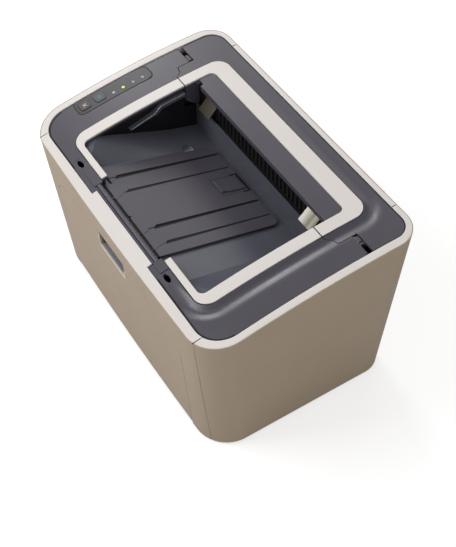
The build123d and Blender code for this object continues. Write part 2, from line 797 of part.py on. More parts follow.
with BuildPart() as door_ring:
    add(ring_whole.part)
    block(-RING_BREAK, RING_BREAK, -DEPTH, 0, 0, HIGH, mode=Mode.SUBTRACT)
    add(DOOR_ZONE, mode=Mode.INTERSECT)
door_ring.part.label = "door_ring"
export_step(door_ring.part, "parts/door_ring.step")

with BuildPart() as rear_ring:
    add(ring_whole.part)
    add(REAR_ZONE, mode=Mode.INTERSECT)
rear_ring.part.label = "rear_ring"
export_step(rear_ring.part, "parts/rear_ring.step")

LEDGE_X = RING_X - RING_SIDE - LEDGE_GAP
LEDGE_REAR_Y = RING_Y - RING_REAR - LEDGE_GAP
LEDGE_LOW = LEDGE_DROP + LEDGE_THICK
WALL_IN_X = RING_X - RING_SIDE

# Flange that rests against the rim's skirt
with BuildPart() as rim_flange:
    add(crown_slab(SEAT_TOP, PANEL_LOW))
    add(upright(rim_inner()), mode=Mode.INTERSECT)
    add(upright(ring_outer()), mode=Mode.SUBTRACT)

# Flange under the delivery ledge
with BuildPart() as ledge_flange:
    both_sides(block, WALL_IN_X - SEAT_WIDTH, WALL_IN_X + SEAT_WIDTH, LEDGE_Y, RING_Y - RING_REAR, 0, HIGH)
    block(-WALL_IN_X, WALL_IN_X, LEDGE_REAR_Y - SEAT_WIDTH, RING_Y - RING_REAR + SEAT_WIDTH, 0, HIGH)
    add(crown_slab(LEDGE_LOW, LEDGE_LOW + PANEL_THICK), mode=Mode.INTERSECT)

# Side walls of the exit, kept clear of the bin's swing
with BuildPart() as exit_clear:
    rod(-WIDTH, WIDTH, BIN_SWEEP_R, HINGE_Y, HINGE_Z)
    block(-WIDTH, WIDTH, HINGE_Y, DEPTH, 0, HIGH)

with BuildPart() as exit_walls:
    both_sides(block, WALL_IN_X + HINGE_WALL_STEP, WALL_IN_X + HINGE_WALL_STEP + HINGE_WALL_T,
               SEAM_Y + SEAM_GAP, RING_Y - RING_REAR - RING_INNER_R - 1, HINGE_WALL_LOW, HIGH)
    add(crown_slab(SEAT_TOP, HIGH), mode=Mode.INTERSECT)
    add(exit_clear.part, mode=Mode.INTERSECT)
    block(-WIDTH, WIDTH, COMB_Y, COMB_Y + COMB_THICK, 0, COMB_HIGH, mode=Mode.SUBTRACT)
    rod(-WIDTH, WIDTH, SHAFT_R + 1, DELIVERY_Y, DELIVERY_Z, mode=Mode.SUBTRACT)

with BuildPart() as top_rear_cover:
    add(top_panel.part)
    add(rim_flange.part)
    add(ring_seat.part)
    add(REAR_ZONE, mode=Mode.INTERSECT)
    add(ledge_flange.part)
    add(exit_walls.part)
    # Lugs that hold the hinge pins, and clearance for the door's eyes
    for x_low, x_high in (HINGE_LUG_X, HINGE_LUG_OUT_X):
        both_sides(rod, x_low, x_high, HINGE_LUG_R, HINGE_Y, HINGE_Z)
    for side in (-1, 1):
        x_low, x_high = sorted(side * x for x in HINGE_LUG_OUT_X)
        add(side_prism([(HINGE_Y, HINGE_Z - HINGE_LUG_R), (HINGE_Y + 14, HINGE_Z),
                        (HINGE_Y + 14, top_z(HINGE_Y + 14) - PANEL_LOW + 0.5),
                        (SLOT_HIGH_Y + 0.8, top_z(SLOT_HIGH_Y) - PANEL_LOW + 0.5),
                        (HINGE_Y, HINGE_Z + HINGE_LUG_R)], x_low, x_high))
    both_sides(rod, HINGE_LUG_X[0], HINGE_LUG_OUT_X[1], HINGE_PIN_R, HINGE_Y, HINGE_Z, mode=Mode.SUBTRACT)
    both_sides(rod, EYE_LOW_X - 0.6, EYE_HIGH_X + 0.6, HINGE_EYE_R + 0.5, HINGE_Y, HINGE_Z, mode=Mode.SUBTRACT)
top_rear_cover.part.label = "top_rear_cover"
export_step(top_rear_cover.part, "parts/top_rear_cover.step")

with BuildPart() as ledge_front:
    block(-LEDGE_X + SEAT_WIDTH + LEDGE_GAP, LEDGE_X - SEAT_WIDTH - LEDGE_GAP,
          LEDGE_Y, LEDGE_Y + LEDGE_LIP, 0, HIGH)
    add(crown_slab(LEDGE_DROP, LEDGE_LIP_DROP), mode=Mode.INTERSECT)

with BuildPart() as delivery_ledge:
    block(-LEDGE_X, LEDGE_X, LEDGE_Y, LEDGE_REAR_Y, 0, HIGH)
    fillet(delivery_ledge.edges().filter_by(Axis.Z).group_by(Axis.Y)[-1], RING_INNER_R - LEDGE_GAP / 2)
    add(crown_slab(LEDGE_DROP, LEDGE_LOW), mode=Mode.INTERSECT)
    add(ledge_front.part)
    block(-WIDTH, LEDGE_NOTCH_X, 0, LEDGE_NOTCH_Y, 0, HIGH, mode=Mode.SUBTRACT)
delivery_ledge.part.label = "delivery_ledge"
export_step(delivery_ledge.part, "parts/delivery_ledge.step")

with BuildPart() as exit_comb:
    block(-FRAME_X, FRAME_X, COMB_Y, COMB_Y + COMB_THICK, COMB_LOW, COMB_HIGH)
    with Locations((0, COMB_Y - COMB_TOOTH_D / 2, (COMB_SLOT[1] + COMB_HIGH) / 2)):
        with GridLocations(2 * COMB_SLOT_X / COMB_TEETH, 1, COMB_TEETH, 1):
            Box(COMB_TOOTH, COMB_TOOTH_D, COMB_HIGH - COMB_SLOT[1])
    block(-COMB_SLOT_X, COMB_SLOT_X, 0, DEPTH, *COMB_SLOT, mode=Mode.SUBTRACT)
    both_sides(block, PLATE_X - PLATE_W / 2 - LEDGE_GAP, PLATE_X + PLATE_W / 2 + LEDGE_GAP, 0, DEPTH,
               PLATE_LOW_Z + BIN_BASE, HIGH, mode=Mode.SUBTRACT)
exit_comb.part.label = "exit_comb"
export_step(exit_comb.part, "parts/exit_comb.step")

with BuildPart() as exit_plates:
    for side in (-1, 1):
        x_low, x_high = sorted((side * (PLATE_X - PLATE_W / 2), side * (PLATE_X + PLATE_W / 2)))
        add(side_prism([(PLATE_LOW_Y, PLATE_LOW_Z), (PLATE_HIGH_Y, PLATE_HIGH_Z), (PLATE_HIGH_Y, HIGH),
                        (PLATE_HIGH_Y + PLATE_THICK, HIGH), (PLATE_HIGH_Y + PLATE_THICK, PLATE_HIGH_Z - 0.5),
                        (PLATE_LOW_Y + 0.8, PLATE_LOW_Z - 0.9)], x_low, x_high))
    add(crown_slab(LEDGE_LOW, HIGH), mode=Mode.INTERSECT)
exit_plates.part.label = "exit_plates"
export_step(exit_plates.part, "parts/exit_plates.step")


# Output bin below the door's ring
BIN_SLOPE = (BIN_FLOOR_FRONT - BIN_FLOOR_REAR) / (BIN_REAR_Y - BIN_FRONT_Y)


def bin_floor(y):
    """Height of the bin's sloping floor at depth y."""
    return BIN_FLOOR_FRONT - BIN_SLOPE * (y - BIN_FRONT_Y)


RAMP_KNEE_Z = bin_floor(RAMP_KNEE_Y) + RAMP_KNEE


def ramp_top(y):
    """Height where the bin's side ramp meets the wall at depth y."""
    return RAMP_KNEE_Z + RAMP_RISE * (RAMP_KNEE_Y - y)


def bin_ramp(side, y_low, y_high, z_low, z_high):
    """A ramp beside the bin's floor, its top at the wall at z_low and z_high."""
    with BuildPart() as ramp:
        for y, z in ((y_low, z_low), (y_high, z_high)):
            with BuildSketch(Plane.XZ.offset(-y)):
                with BuildLine():
                    Polyline((side * BIN_FLAT_X, bin_floor(y)), (side * (BIN_X + BIN_WALL / 2), z),
                             (side * (BIN_X + BIN_WALL / 2), bin_floor(y) - BIN_BASE / 2),
                             (side * BIN_FLAT_X, bin_floor(y) - BIN_BASE / 2), close=True)
                make_face()
        loft(ruled=True)
    return ramp.part


BIN_OUT_X = BIN_X + BIN_WALL
BIN_OUT_FRONT = BIN_FRONT_Y - BIN_WALL
BIN_OUT_REAR = BIN_REAR_Y + BIN_WALL
SHELF = [(-154.5, 190), (-123.5, 199), (-115.5, 206), (-84.5, 209.5), (-84.5, 205.5), (-113.5, 201.5), (-121.5, 196)]

with BuildPart() as output_bin:
    add(side_prism([(BIN_OUT_FRONT, bin_floor(BIN_OUT_FRONT) - BIN_BASE), (BIN_OUT_FRONT, HIGH),
                    (SEAM_Y - SEAM_GAP, HIGH), (SEAM_Y - SEAM_GAP, BIN_BACK_TOP), (BIN_OUT_REAR, BIN_BACK_TOP),
                    (BIN_OUT_REAR, bin_floor(BIN_OUT_REAR) - BIN_BASE)], -BIN_OUT_X, BIN_OUT_X))
    add(side_prism([(BIN_FRONT_Y, bin_floor(BIN_FRONT_Y)), (BIN_FRONT_Y, HIGH), (BIN_REAR_Y, HIGH),
                    (BIN_REAR_Y, bin_floor(BIN_REAR_Y))], -BIN_X, BIN_X), mode=Mode.SUBTRACT)
    for side in (-1, 1):
        add(bin_ramp(side, BIN_FRONT_Y, RAMP_KNEE_Y, ramp_top(BIN_FRONT_Y), RAMP_KNEE_Z))
        add(bin_ramp(side, RAMP_KNEE_Y, BIN_REAR_Y, RAMP_KNEE_Z, bin_floor(BIN_REAR_Y) + RAMP_REAR))
        x_low, x_high = sorted((side * (BIN_X - SHELF_DEPTH), side * (BIN_X + BIN_WALL / 2)))
        add(side_prism([(REAR + y, z) for y, z in SHELF], x_low, x_high))
    # Channel below the flap's barrel
    block(-RING_BREAK + KNUCKLE_GAP, RING_BREAK - KNUCKLE_GAP, CHANNEL_Y + KNUCKLE_GAP, BIN_OUT_FRONT,
          BIN_Z_FRONT, CHANNEL_FLOOR)
    block(-RING_BREAK, RING_BREAK, BIN_OUT_FRONT, BIN_FRONT_Y, CHANNEL_FLOOR, HIGH, mode=Mode.SUBTRACT)
    block(-WIDTH, -FLAP_BARREL_X - KNUCKLE_GAP, FRONT, KNUCKLE_Y + KNUCKLE_GAP, 0, HIGH, mode=Mode.SUBTRACT)
    block(FLAP_BARREL_X + KNUCKLE_GAP, WIDTH, FRONT, KNUCKLE_Y + KNUCKLE_GAP, 0, HIGH, mode=Mode.SUBTRACT)
    add(crown_slab(SEAT_LOW, HIGH), mode=Mode.INTERSECT)
output_bin.part.label = "output_bin"
export_step(output_bin.part, "parts/output_bin.step")


# Fold-out flap and its paper stop
FLAP_TOP_Z = FLAP_PIN_Z - FLAP_GAP


def flap_z(y):
    """Height of the folded flap's top face at depth y."""
    return FLAP_TOP_Z - BIN_SLOPE * (y - FLAP_PIN_Y)


def flap_plate(x_low, x_high, y_low, y_high, high=0.0, low=FLAP_THICK):
    """A plate along the folded flap, between two depths below its top face."""
    return side_prism([(y_low, flap_z(y_low) - high), (y_high, flap_z(y_high) - high),
                       (y_high, flap_z(y_high) - low), (y_low, flap_z(y_low) - low)], x_low, x_high)


SLOT_PITCH = 2 * FLAP_BARREL_X / FLAP_SLOTS
STOP_REAR_Y = STOP_PIN_Y + STOP_THICK / 2 + STOP_GAP
STOP_PIN_Z = flap_z(STOP_PIN_Y) - STOP_THICK / 2

with BuildPart() as stack_flap:
    add(flap_plate(-FLAP_BARREL_X, min(FLAP_BARREL_X, FLAP_RIGHT), FLAP_PIN_Y + 2, FLAP_WIDE_Y))
    add(flap_plate(FLAP_LEFT, FLAP_RIGHT, FLAP_WIDE_Y, FLAP_REAR_Y))
    rod(-FLAP_BARREL_X, FLAP_BARREL_X, FLAP_BARREL_R, FLAP_PIN_Y, FLAP_PIN_Z)
    both_sides(rod, FLAP_BARREL_X - 1, FLAP_BARREL_X + 3, FLAP_PIN_R, FLAP_PIN_Y, FLAP_PIN_Z)
    with Locations((0, FLAP_PIN_Y + 2 * FLAP_BARREL_R, FLAP_PIN_Z)):
        with GridLocations(SLOT_PITCH, 1, FLAP_SLOTS, 1):
            Box(FLAP_SLOT_W, FLAP_SLOT_D, 4 * FLAP_BARREL_R, mode=Mode.SUBTRACT)
    for x_low, x_high in (STEP_LEFT, STEP_RIGHT):
        add(flap_plate(x_low, x_high, FLAP_WIDE_Y, DEPTH, -FLAP_THICK, FLAP_STEP), mode=Mode.SUBTRACT)
    add(flap_plate(STOP_X - STOP_W / 2 - STOP_GAP, STOP_X + STOP_W / 2 + STOP_GAP,
                   STOP_FRONT_Y - STOP_GAP, STOP_REAR_Y, -FLAP_THICK, 2 * FLAP_THICK), mode=Mode.SUBTRACT)
    rod(STOP_X - STOP_W / 2 - 2, STOP_X + STOP_W / 2 + 2, STOP_PIN_R + RUN_CLEAR, STOP_PIN_Y, STOP_PIN_Z,
        mode=Mode.SUBTRACT)
stack_flap.part.label = "stack_flap"
export_step(stack_flap.part, "parts/stack_flap.step")

with BuildPart() as paper_stop:
    add(flap_plate(STOP_X - STOP_W / 2, STOP_X + STOP_W / 2, STOP_FRONT_Y, STOP_PIN_Y, 0, STOP_THICK))
    rod(STOP_X - STOP_W / 2, STOP_X + STOP_W / 2, STOP_THICK / 2, STOP_PIN_Y, STOP_PIN_Z)
    rod(STOP_X - STOP_W / 2 - 1.8, STOP_X + STOP_W / 2 + 1.8, STOP_PIN_R, STOP_PIN_Y, STOP_PIN_Z)
paper_stop.part.label = "paper_stop"
export_step(paper_stop.part, "parts/paper_stop.step")

# Control panel, buttons and lights
with BuildPart() as light_recess:
    block(LIGHT_X - LIGHT_BAR / 2, LIGHT_X + LIGHT_BAR / 2, LIGHT_YS[0] - LIGHT_BAR / 2,
          LIGHT_YS[-1] + LIGHT_BAR / 2, 0, HIGH)
    add(crown_slab(CONTROL_LOW - LIGHT_BAR_T, CONTROL_LOW), mode=Mode.INTERSECT)

with BuildPart() as control_panel:
    add(upright(control_plan()))
    add(crown_slab(CONTROL_SKIN, CONTROL_LOW), mode=Mode.INTERSECT)
    for y in (BUTTON_CANCEL_Y, BUTTON_GO_Y):
        add(upright(button_plan(y, BUTTON_GAP)), mode=Mode.SUBTRACT)
    for y in LIGHT_YS:
        post(LIGHT_R, LIGHT_X, y, 0, HIGH, mode=Mode.SUBTRACT)
    add(light_recess.part, mode=Mode.SUBTRACT)
control_panel.part.label = "control_panel"
export_step(control_panel.part, "parts/control_panel.step")

with BuildPart() as status_lights:
    for y in LIGHT_YS:
        post(LIGHT_R, LIGHT_X, y, 0, HIGH)
    add(crown_slab(CONTROL_SKIN - 0.2, CONTROL_LOW - LIGHT_BAR_T), mode=Mode.INTERSECT)
    add(light_recess.part)
status_lights.part.label = "status_lights"
export_step(status_lights.part, "parts/status_lights.step")

for y, name in ((BUTTON_CANCEL_Y, "cancel_button"), (BUTTON_GO_Y, "go_button")):
    with BuildPart() as button_foot:
        add(upright(button_plan(y, 1)))
        add(crown_slab(PANEL_LOW + BUTTON_GAP, PANEL_LOW + 1), mode=Mode.INTERSECT)
    with BuildPart() as button:
        add(upright(button_plan(y)))
        add(crown_slab(CONTROL_SKIN - BUTTON_PROUD, PANEL_LOW + 1), mode=Mode.INTERSECT)
        add(button_foot.part)
    button.part.label = name
    export_step(button.part, f"parts/{name}.step")

# Tray door with its handle pocket
def tray_eye(x_low, x_high):
    """An eye of the tray door's hinge, joined to the door's wall."""
    with BuildPart() as eye:
        rod(x_low, x_high, TRAY_EYE_R, TRAY_PIN_Y, TRAY_PIN_Z)
        block(x_low, x_high, -DEPTH, TRAY_PIN_Y, TRAY_PIN_Z - TRAY_EYE_R, TRAY_PIN_Z + TRAY_EYE_R)
        add(INNER, mode=Mode.INTERSECT)
    return eye.part


with BuildPart() as door_skin:
    add(OUTER)
    add(INNER, mode=Mode.SUBTRACT)
    add(tray_door_prism(), mode=Mode.INTERSECT)

with BuildPart() as rim_band:
    add(tray_door_prism())
    add(tray_door_prism(-TRAY_DOOR_FLANGE, 0), mode=Mode.SUBTRACT)

with BuildPart() as door_rim:
    add(INNER)
    add(INNER.moved(Location((0, TRAY_DOOR_RIM, 0))), mode=Mode.SUBTRACT)
    add(rim_band.part, mode=Mode.INTERSECT)

with BuildPart() as tray_door:
    add(door_skin.part)
    add(door_rim.part)
    for side in (-1, 1):
        x_low, x_high = sorted((side * (TRAY_EYE_X - TRAY_EYE_W / 2), side * (TRAY_EYE_X + TRAY_EYE_W / 2)))
        add(tray_eye(x_low, x_high))
    both_sides(rod, TRAY_EYE_X - TRAY_EYE_W / 2, TRAY_DOOR_X, TRAY_PIN_R + RUN_CLEAR, TRAY_PIN_Y, TRAY_PIN_Z,
               mode=Mode.SUBTRACT)
    block(-POCKET_X, POCKET_X, -DEPTH, 0, POCKET_LOW, HIGH, mode=Mode.SUBTRACT)
tray_door.part.label = "tray_door"
export_step(tray_door.part, "parts/tray_door.step")

POCKET_FACE_Y = front_y(POCKET_LOW)
with BuildPart() as pocket_insert:
    block(-POCKET_X - POCKET_WALL, POCKET_X + POCKET_WALL, -DEPTH, POCKET_FACE_Y + POCKET_DEPTH + POCKET_WALL,
          POCKET_LOW - POCKET_WALL, TRAY_DOOR_TOP)
    block(-POCKET_X, POCKET_X, -DEPTH, POCKET_FACE_Y + POCKET_DEPTH, POCKET_LOW, HIGH, mode=Mode.SUBTRACT)
    add(INNER, mode=Mode.INTERSECT)
    add(tray_door_prism(-TRAY_DOOR_FLANGE, 0), mode=Mode.INTERSECT)
pocket_insert.part.label = "pocket_insert"
export_step(pocket_insert.part, "parts/pocket_insert.step")

# Base pan, feet and frame plates
FLOOR_Z = PAN_LOW + PAN_FLOOR
TRANSFER_Z = DRUM_Z - sqrt((DRUM_R + TRANSFER_R + ROLLER_GAP) ** 2 - (TRANSFER_Y - DRUM_Y) ** 2)
SLEEVE_Z = FUSER_Z + 2 * FUSER_R + ROLLER_GAP
PINCH_Z = DELIVERY_Z - 2 * DELIVERY_R - ROLLER_GAP
SHAFTS = ((PICKUP_Y, PICKUP_Z), (TRANSFER_Y, TRANSFER_Z), (FUSER_Y, FUSER_Z),
          (DELIVERY_Y, DELIVERY_Z), (DELIVERY_Y, PINCH_Z))
FRAME_OUT = FRAME_X + FRAME_T
SHAFT_END = FRAME_OUT + 1
BORE_R = SHAFT_R + RUN_CLEAR

with BuildPart() as base_pan:
    add(body_block(WALL, PAN_LOW, PAN_HIGH))
    add(body_block(WALL + PAN_WALL, FLOOR_Z, PAN_HIGH + 1), mode=Mode.SUBTRACT)
    block(-SHAFT_END, SHAFT_END, -DEPTH, PAN_FRONT_Y, 0, HIGH, mode=Mode.SUBTRACT)
    # Raised deck of the paper tray on ribs, with slots for the guides
    block(-FRAME_X, FRAME_X, PAN_FRONT_Y, DECK_Y, DECK_TOP - DECK_THICK, DECK_TOP)
    with Locations((0, (PAN_FRONT_Y + DECK_Y) / 2, (FLOOR_Z + DECK_TOP - DECK_THICK) / 2)):
        with GridLocations((2 * FRAME_X - 2) / (DECK_RIBS - 1), 1, DECK_RIBS, 1):
            Box(2, DECK_Y - PAN_FRONT_Y, DECK_TOP - DECK_THICK - FLOOR_Z)
    both_sides(block, GUIDE_X - GUIDE_TRAVEL - 2, GUIDE_X + GUIDE_FOOT, GUIDE_SLOT_Y - GUIDE_SLOT_W / 2,
               GUIDE_SLOT_Y + GUIDE_SLOT_W / 2, DECK_TOP - DECK_THICK - 4, HIGH, mode=Mode.SUBTRACT)
    # Ears for the lift plate and the pad's pedestal
    both_sides(block, LIFT_W / 2 + 2, LIFT_W / 2 + 5, DECK_Y - 2, LIFT_Y + 3, DECK_TOP - DECK_THICK, LIFT_Z + 3)
    both_sides(rod, LIFT_W / 2, LIFT_W / 2 + 5, LIFT_PIN_R + RUN_CLEAR, LIFT_Y, LIFT_Z, mode=Mode.SUBTRACT)
    block(-PAD_W / 2, PAD_W / 2, *PAD_Y, PAN_LOW, PAD_TOP - PAD_T)
    for x in SCREW_X:
        bolt(SCREW_R, x, SCREW_Z, 0, DEPTH, mode=Mode.SUBTRACT)
base_pan.part.label = "base_pan"
export_step(base_pan.part, "parts/base_pan.step")

with BuildPart() as feet:
    with Locations((0, 0, PAN_LOW / 2)):
        with GridLocations(2 * FOOT_X, 2 * FOOT_Y, 2, 2):
            Cylinder(FOOT_R, PAN_LOW)
feet.part.label = "feet"
export_step(feet.part, "parts/feet.step")


# Gear centres in the side view: a chain from the motor to the drum and on to the fuser
def pitch_r(teeth):
    """Pitch radius of a gear."""
    return MODULE * teeth / 2


def step_from(centre, teeth_a, teeth_b, angle):
    """Centre of gear b that meshes with gear a in the direction of angle."""
    reach = pitch_r(teeth_a) + pitch_r(teeth_b) + GEAR_GAP
    return centre[0] + reach * cos(radians(angle)), centre[1] + reach * sin(radians(angle))


DRUM_C = (DRUM_Y, DRUM_Z)
FUSER_C = (FUSER_Y, FUSER_Z)
IDLER_A_C = step_from(DRUM_C, DRUM_TEETH, IDLER_A_TEETH, IDLER_A_ANGLE)
PINION_C = step_from(IDLER_A_C, IDLER_A_TEETH, PINION_TEETH, PINION_ANGLE)
SPAN = hypot(FUSER_Y - DRUM_Y, FUSER_Z - DRUM_Z)
REACH_DRUM = pitch_r(DRUM_TEETH) + pitch_r(IDLER_B_TEETH) + GEAR_GAP
REACH_FUSER = pitch_r(FUSER_TEETH) + pitch_r(IDLER_B_TEETH) + GEAR_GAP
IDLER_B_TURN = degrees(atan2(FUSER_Z - DRUM_Z, FUSER_Y - DRUM_Y)) + degrees(
    atan2(sqrt(REACH_DRUM**2 - ((SPAN**2 + REACH_DRUM**2 - REACH_FUSER**2) / (2 * SPAN)) ** 2),
          (SPAN**2 + REACH_DRUM**2 - REACH_FUSER**2) / (2 * SPAN)))
IDLER_B_C = step_from(DRUM_C, DRUM_TEETH, IDLER_B_TEETH, IDLER_B_TURN)
PLATE_OUT = PLATE_GEAR_X + MOTOR_PLATE_T
FRAME_LOW_Y = FRAME_REAR_Y - 3

for side, name in ((-1, "frame_left"), (1, "frame_right")):
    x_low, x_high = sorted((side * FRAME_X, side * FRAME_OUT))
    with BuildPart() as frame:
        add(side_prism([(FRAME_FRONT_Y + 1, FLOOR_Z), (FRAME_FRONT_Y, PAN_HIGH), (FRAME_FRONT_Y, HIGH),
                        (FRAME_REAR_Y, HIGH), (FRAME_REAR_Y, PAN_HIGH + 20), (FRAME_LOW_Y, PAN_HIGH + 1),
                        (FRAME_LOW_Y, FLOOR_Z)], x_low, x_high))
        add(crown_slab(SEAT_LOW, HIGH), mode=Mode.INTERSECT)
        add(crown_slab(0, FRAME_DROP, -DEPTH, FRAME_STEP_Y), mode=Mode.SUBTRACT)
        for y, z in SHAFTS:
            rod(x_low, x_high, BORE_R, y, z, mode=Mode.SUBTRACT)
        rod(x_low, x_high, TRAY_PIN_R, TRAY_PIN_Y, TRAY_PIN_Z, mode=Mode.SUBTRACT)
        if side > 0:
            rod(x_low, x_high, HUB_R + RUN_CLEAR, *DRUM_C, mode=Mode.SUBTRACT)
            for centre in (IDLER_A_C, IDLER_B_C):
                rod(x_low, x_high, AXLE_R, *centre, mode=Mode.SUBTRACT)
    frame.part.label = name
    export_step(frame.part, f"parts/{name}.step")

with BuildPart() as steel_pins:
    both_sides(rod, HINGE_LUG_X[0], HINGE_LUG_OUT_X[1], HINGE_PIN_R, HINGE_Y, HINGE_Z)
    both_sides(rod, TRAY_EYE_X - TRAY_EYE_W / 2, FRAME_OUT, TRAY_PIN_R, TRAY_PIN_Y, TRAY_PIN_Z)
    for centre in (IDLER_A_C, IDLER_B_C):
        rod(FRAME_X, PLATE_OUT, AXLE_R, *centre)
steel_pins.part.label = "steel_pins"
export_step(steel_pins.part, "parts/steel_pins.step")

# Paper tray: lift plate, separation pad and the two guides
with BuildPart() as lift_plate:
    block(-LIFT_W / 2, LIFT_W / 2, LIFT_Y, LIFT_Y + LIFT_L, LIFT_Z - LIFT_T / 2, LIFT_Z + LIFT_T / 2)
    rod(-LIFT_W / 2, LIFT_W / 2, LIFT_PIN_R + 0.7, LIFT_Y, LIFT_Z)
    rod(-LIFT_W / 2 - 4.5, LIFT_W / 2 + 4.5, LIFT_PIN_R, LIFT_Y, LIFT_Z)
lift_plate.part.label = "lift_plate"
export_step(lift_plate.part, "parts/lift_plate.step")

with BuildPart() as separation_pad:
    block(-PAD_W / 2, PAD_W / 2, *PAD_Y, PAD_TOP - PAD_T, PAD_TOP)
    chamfer(separation_pad.edges().filter_by(Axis.X).group_by(Axis.Z)[-1], PAD_T / 3)
separation_pad.part.label = "separation_pad"
export_step(separation_pad.part, "parts/separation_pad.step")

for side, name in ((-1, "guide_left"), (1, "guide_right")):
    foot = sorted((side * GUIDE_X, side * (GUIDE_X + GUIDE_FOOT)))
    wall = sorted((side * GUIDE_X, side * (GUIDE_X + GUIDE_T)))
    tongue = sorted((side * (GUIDE_X + GUIDE_T), side * (GUIDE_X + GUIDE_FOOT - 2)))
    with BuildPart() as guide:
        block(*foot, GUIDE_FRONT_Y, GUIDE_REAR_Y, DECK_TOP + GUIDE_GAP, DECK_TOP + GUIDE_GAP + GUIDE_T)
        block(*wall, GUIDE_FRONT_Y, GUIDE_REAR_Y, DECK_TOP + GUIDE_GAP, DECK_TOP + GUIDE_H)
        block(*tongue, GUIDE_SLOT_Y - GUIDE_SLOT_W / 2 + GUIDE_GAP, GUIDE_SLOT_Y + GUIDE_SLOT_W / 2 - GUIDE_GAP,
              DECK_TOP - DECK_THICK - 2, DECK_TOP + GUIDE_GAP + GUIDE_T)
        fillet(guide.edges().filter_by(Axis.X).group_by(Axis.Z)[-1], GUIDE_T)
    guide.part.label = name
    export_step(guide.part, f"parts/{name}.step")

# Rollers and the paper path
with BuildPart() as pickup_roller:
    rod(-SHAFT_END, SHAFT_END, SHAFT_R, PICKUP_Y, PICKUP_Z)
    rod(-PICKUP_W / 2, PICKUP_W / 2, PICKUP_R, PICKUP_Y, PICKUP_Z)
pickup_roller.part.label = "pickup_roller"
export_step(pickup_roller.part, "parts/pickup_roller.step")

with BuildPart() as transfer_roller:
    rod(-SHAFT_END, SHAFT_END, SHAFT_R, TRANSFER_Y, TRANSFER_Z)
    rod(-DRUM_L / 2, DRUM_L / 2, TRANSFER_R, TRANSFER_Y, TRANSFER_Z)
transfer_roller.part.label = "transfer_roller"
export_step(transfer_roller.part, "parts/transfer_roller.step")

with BuildPart() as photo_drum:
    rod(-DRUM_L / 2, DRUM_L / 2, DRUM_R, *DRUM_C)
    rod(-CARTRIDGE_X - 1, DRUM_HUB_X, SHAFT_R, *DRUM_C)
photo_drum.part.label = "photo_drum"
export_step(photo_drum.part, "parts/photo_drum.step")

FUSER_END = FUSER_L / 2 + 2

with BuildPart() as pressure_roller:
    rod(-SHAFT_END, BELT_X + BELT_W + 1, SHAFT_R, FUSER_Y, FUSER_Z)
    rod(-FUSER_L / 2, FUSER_L / 2, FUSER_R, FUSER_Y, FUSER_Z)
pressure_roller.part.label = "pressure_roller"
export_step(pressure_roller.part, "parts/pressure_roller.step")

with BuildPart() as fuser_sleeve:
    rod(-FUSER_L / 2, FUSER_L / 2, FUSER_R, FUSER_Y, SLEEVE_Z)
    rod(-FUSER_END - 1.5, FUSER_END + 1.5, SHAFT_R, FUSER_Y, SLEEVE_Z)
fuser_sleeve.part.label = "fuser_sleeve"
export_step(fuser_sleeve.part, "parts/fuser_sleeve.step")

with BuildPart() as fuser_tabs:
    both_sides(block, FUSER_END, FRAME_X, FUSER_Y - FUSER_HALF_Y, FUSER_Y + FUSER_HALF_Y,
               FUSER_HIGH - 2, FUSER_HIGH)

with BuildPart() as fuser_housing:
    block(-FUSER_END - 2, FUSER_END + 2, FUSER_Y - FUSER_HALF_Y, FUSER_Y + FUSER_HALF_Y, FUSER_LOW, FUSER_HIGH)
    block(-FUSER_END, FUSER_END, FUSER_Y - FUSER_HALF_Y + 2, FUSER_Y + FUSER_HALF_Y - 2,
          FUSER_LOW + 1.5, FUSER_HIGH - 2, mode=Mode.SUBTRACT)
    # Slots for the paper, front and rear
    block(-FUSER_L / 2, FUSER_L / 2, 0, DEPTH, (FUSER_Z + SLEEVE_Z) / 2 - 3, (FUSER_Z + SLEEVE_Z) / 2 + 3,
          mode=Mode.SUBTRACT)
    for z in (FUSER_Z, SLEEVE_Z):
        rod(-FRAME_X, FRAME_X, BORE_R, FUSER_Y, z, mode=Mode.SUBTRACT)
    add(fuser_tabs.part)
fuser_housing.part.label = "fuser_housing"
export_step(fuser_housing.part, "parts/fuser_housing.step")

with BuildPart() as paper_chute:
    with BuildSketch(Plane.YZ.offset(-FRAME_X)):
        with BuildLine():
            for y in (CHUTE_Y, CHUTE_Y + CHUTE_T):
                turn_r = CHUTE_R + y - CHUTE_Y
                Line((y, CHUTE_LOW), (y, CHUTE_TURN_Z))
                RadiusArc((y, CHUTE_TURN_Z), (y - turn_r, CHUTE_TURN_Z + turn_r), -turn_r)
            Line((CHUTE_Y, CHUTE_LOW), (CHUTE_Y + CHUTE_T, CHUTE_LOW))
            Line((CHUTE_Y - CHUTE_R, CHUTE_TURN_Z + CHUTE_R), (CHUTE_Y - CHUTE_R, CHUTE_TURN_Z + CHUTE_R + CHUTE_T))
        make_face()
    extrude(amount=2 * FRAME_X)
paper_chute.part.label = "paper_chute"
export_step(paper_chute.part, "parts/paper_chute.step")

with BuildPart() as delivery_roller:
    rod(-SHAFT_END, BELT_X + BELT_W, SHAFT_R, DELIVERY_Y, DELIVERY_Z)
    with Locations(Location((0, DELIVERY_Y, DELIVERY_Z), (0, 90, 0))):
        with Locations(*[(0, 0, (i - (DELIVERY_TYRES - 1) / 2) * DELIVERY_PITCH) for i in range(DELIVERY_TYRES)]):
            Cylinder(DELIVERY_R, DELIVERY_TYRE_W)
delivery_roller.part.label = "delivery_roller"
export_step(delivery_roller.part, "parts/delivery_roller.step")

